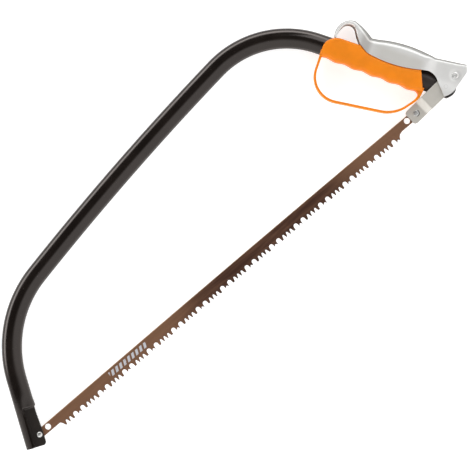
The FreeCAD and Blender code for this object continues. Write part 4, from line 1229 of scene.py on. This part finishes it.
def light_room(tree, strength):
    """A pale studio: bright all round near the horizon and on the blade's side of the saw, with one bright
    strip on the bow's side and little light overhead, so that curved paint and steel show their shape."""
    back = tree.nodes["Background"]
    split = tree.nodes.new("ShaderNodeSeparateXYZ")
    tree.links.new(tree.nodes.new("ShaderNodeTexCoord").outputs["Generated"], split.inputs[0])
    across, up = split.outputs[1], split.outputs[2]

    def ramp(source, low, high, to_low, to_high):
        made = tree.nodes.new("ShaderNodeMapRange")
        made.interpolation_type = "SMOOTHSTEP"
        tree.links.new(source, made.inputs["Value"])
        for key, value in zip(("From Min", "From Max", "To Min", "To Max"), (low, high, to_low, to_high)):
            made.inputs[key].default_value = value
        return made.outputs[0]

    def join(how, a, b):
        made = tree.nodes.new("ShaderNodeMath")
        made.operation = how
        tree.links.new(a, made.inputs[0])
        if isinstance(b, float):
            made.inputs[1].default_value = b
        else:
            tree.links.new(b, made.inputs[1])
        return made.outputs[0]

    low_band = ramp(up, 0.10, 0.40, 1.3, 0.0)
    blade_side = ramp(across, 0.02, -0.26, 0.04, 1.10)
    strip = join("MULTIPLY", ramp(up, 0.30, 0.38, 0.0, 5.0), ramp(up, 0.62, 0.52, 0.0, 1.0))
    strip = join("MULTIPLY", strip, ramp(across, 0.30, 0.50, 0.0, 1.0))
    light = join("ADD", join("ADD", low_band, blade_side), strip)
    tree.links.new(join("MULTIPLY", light, strength), back.inputs[1])
    back.inputs[0].default_value = ROOM_WHITE


def make_stage(settings):
    """Pale floor, soft light from all round with two large soft boxes, and the camera straight above."""
    steps = np.linspace(-FLOOR_HALF, FLOOR_HALF, 3)
    grid = np.stack(np.meshgrid(steps, steps, indexing="ij"), -1)
    flat = np.concatenate([grid, np.zeros(grid.shape[:2] + (1,))], -1)
    points, faces = patch(flat)
    mesh = bpy.data.meshes.new("floor")
    mesh.from_pydata((points * MM).tolist(), [], faces.tolist())
    f = Finish("floor_paper")
    f.set(Base_Color=f.blend(f.noise(3.0, 2.0), *FLOOR_GREYS), Roughness=0.9,
          Specular_IOR_Level=0.1, Emission_Color=(1.0, 1.0, 1.0, 1.0), Emission_Strength=0.72)
    mesh.materials.append(f.material)
    floor = bpy.data.objects.new("floor", mesh)
    bpy.context.scene.collection.objects.link(floor)
    world = bpy.data.worlds.new("soft_room")
    world.use_nodes = True
    light_room(world.node_tree, settings.room_light)
    bpy.context.scene.world = world
    middle = np.array([*VIEW_CENTRE, 0.0]) * MM + SHIFT
    for name, away, size, power in SOFT_BOXES:
        data = bpy.data.lights.new(name, "AREA")
        data.size = size
        data.energy = power * settings.box_light
        lamp = bpy.data.objects.new(name, data)
        lamp.location = middle + np.array(away)
        lamp.rotation_euler = (-Vector(away)).to_track_quat("-Z", "Y").to_euler()
        bpy.context.scene.collection.objects.link(lamp)
    camera = bpy.data.cameras.new("view")
    camera.sensor_width = 36.0
    camera.lens = camera.sensor_width * CAMERA_AWAY / VIEW_WIDTH
    eye = bpy.data.objects.new("view", camera)
    eye.location = middle + np.array([0.0, 0.0, CAMERA_AWAY * MM])
    eye.rotation_euler = (0.0, 0.0, math.radians(VIEW_TURN))
    bpy.context.scene.collection.objects.link(eye)
    bpy.context.scene.camera = eye
    bpy.context.scene.view_settings.view_transform = "Standard"
    return [floor, eye]


# ---------------------------------------------------------------- add-on
class BowSawSettings(bpy.types.PropertyGroup):
    """Sizes, colours, wear and light of the saw"""
    blade_thickness: FloatProperty(
        name="Blade thickness", description="Thickness of the blade's steel",
        default=0.0009, min=0.0006, max=0.0011, precision=5, unit="LENGTH")
    tooth_set: FloatProperty(
        name="Tooth set", description="How far the points lean to each side",
        default=0.0003, min=0.0, max=0.0006, precision=5, unit="LENGTH")
    finger_waves: FloatProperty(
        name="Finger waves", description="Height of the waves along the grip",
        default=0.0008, min=0.0, max=0.0015, precision=5, unit="LENGTH")
    guard_thickness: FloatProperty(
        name="Guard thickness", description="Thickness of the knuckle guard",
        default=0.0028, min=0.0022, max=0.0040, precision=5, unit="LENGTH")
    tube_colour: FloatVectorProperty(
        name="Tube colour", description="Colour of the powder coat",
        default=(0.0080, 0.0060, 0.0050), size=3, min=0.0, max=1.0, subtype="COLOR")
    blade_colour: FloatVectorProperty(
        name="Blade colour", description="Colour of the lacquer at the blade's ends",
        default=(0.178, 0.090, 0.050), size=3, min=0.0, max=1.0, subtype="COLOR")
    blade_dark: FloatVectorProperty(
        name="Blade middle colour", description="Colour of the lacquer mid-blade",
        default=(0.048, 0.019, 0.011), size=3, min=0.0, max=1.0, subtype="COLOR")
    lever_colour: FloatVectorProperty(
        name="Lever colour", description="Colour of the plated lever",
        default=(0.88, 0.885, 0.875), size=3, min=0.0, max=1.0, subtype="COLOR")
    link_colour: FloatVectorProperty(
        name="Link colour", description="Colour of the plated link",
        default=(0.66, 0.64, 0.59), size=3, min=0.0, max=1.0, subtype="COLOR")
    grip_colour: FloatVectorProperty(
        name="Grip colour", description="Colour of the grip's plastic",
        default=(0.93, 0.262, 0.006), size=3, min=0.0, max=1.0, subtype="COLOR")
    wear: FloatProperty(
        name="Wear", description="Amount of scratches and rubbed paint",
        default=0.5, min=0.0, max=1.0, subtype="FACTOR")
    room_light: FloatProperty(
        name="Room light", description="Strength of the light from the room",
        default=0.85, min=0.0, max=5.0)
    box_light: FloatProperty(
        name="Soft boxes", description="Strength of the two soft boxes",
        default=1.0, min=0.0, max=5.0)


def make_group(make, context):
    """Makes one group of pieces and stops with a plain message if nothing came of it."""
    if not make(context.scene.bow_saw):
        raise RuntimeError(make.__name__ + " made no piece")
    return {"FINISHED"}


class BOWSAW_OT_tube(bpy.types.Operator):
    """Make the painted frame tube"""
    bl_idname = "bowsaw.tube"
    bl_label = "Frame tube"

    def execute(self, context):
        return make_group(make_tube, context)


class BOWSAW_OT_blade(bpy.types.Operator):
    """Make the toothed blade"""
    bl_idname = "bowsaw.blade"
    bl_label = "Blade"

    def execute(self, context):
        return make_group(make_blade, context)


class BOWSAW_OT_lever(bpy.types.Operator):
    """Make the pressed tension lever"""
    bl_idname = "bowsaw.lever"
    bl_label = "Tension lever"

    def execute(self, context):
        return make_group(make_lever, context)


class BOWSAW_OT_grip(bpy.types.Operator):
    """Make the moulded grip and guard"""
    bl_idname = "bowsaw.grip"
    bl_label = "Grip and guard"

    def execute(self, context):
        return make_group(make_grip, context)


class BOWSAW_OT_link(bpy.types.Operator):
    """Make both cheeks of the link"""
    bl_idname = "bowsaw.link"
    bl_label = "Link cheeks"

    def execute(self, context):
        return make_group(make_link, context)


class BOWSAW_OT_pins(bpy.types.Operator):
    """Make the pins, rivets and end plug"""
    bl_idname = "bowsaw.pins"
    bl_label = "Pins and plug"

    def execute(self, context):
        return make_group(make_pins, context)


class BOWSAW_OT_stage(bpy.types.Operator):
    """Make the floor, the light and the camera"""
    bl_idname = "bowsaw.stage"
    bl_label = "Stage"

    def execute(self, context):
        return make_group(make_stage, context)


STEPS = (BOWSAW_OT_stage, BOWSAW_OT_tube, BOWSAW_OT_blade, BOWSAW_OT_lever, BOWSAW_OT_grip, BOWSAW_OT_link,
         BOWSAW_OT_pins)


class BOWSAW_PT_panel(bpy.types.Panel):
    """Sizes, colours and steps of the bow saw"""
    bl_label = "Bow saw"
    bl_space_type = "VIEW_3D"
    bl_region_type = "UI"
    bl_category = "Bow saw"

    def draw(self, context):
        """Lists every setting and then a button for each step."""
        for name in BowSawSettings.__annotations__:
            self.layout.prop(context.scene.bow_saw, name)
        for step in STEPS:
            self.layout.operator(step.bl_idname)


CLASSES = (BowSawSettings, *STEPS, BOWSAW_PT_panel)


def register():
    """Adds the classes to Blender and the settings to each scene."""
    for kind in CLASSES:
        bpy.utils.register_class(kind)
    bpy.types.Scene.bow_saw = PointerProperty(type=BowSawSettings)


def unregister():
    """Takes out what register added."""
    del bpy.types.Scene.bow_saw
    for kind in reversed(CLASSES):
        bpy.utils.unregister_class(kind)


def main():
    """Registers the add-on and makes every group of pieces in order."""
    register()
    for step in STEPS:
        group, name = step.bl_idname.split(".")
        getattr(getattr(bpy.ops, group), name)()
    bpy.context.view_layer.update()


if __name__ == "__main__":
    main()
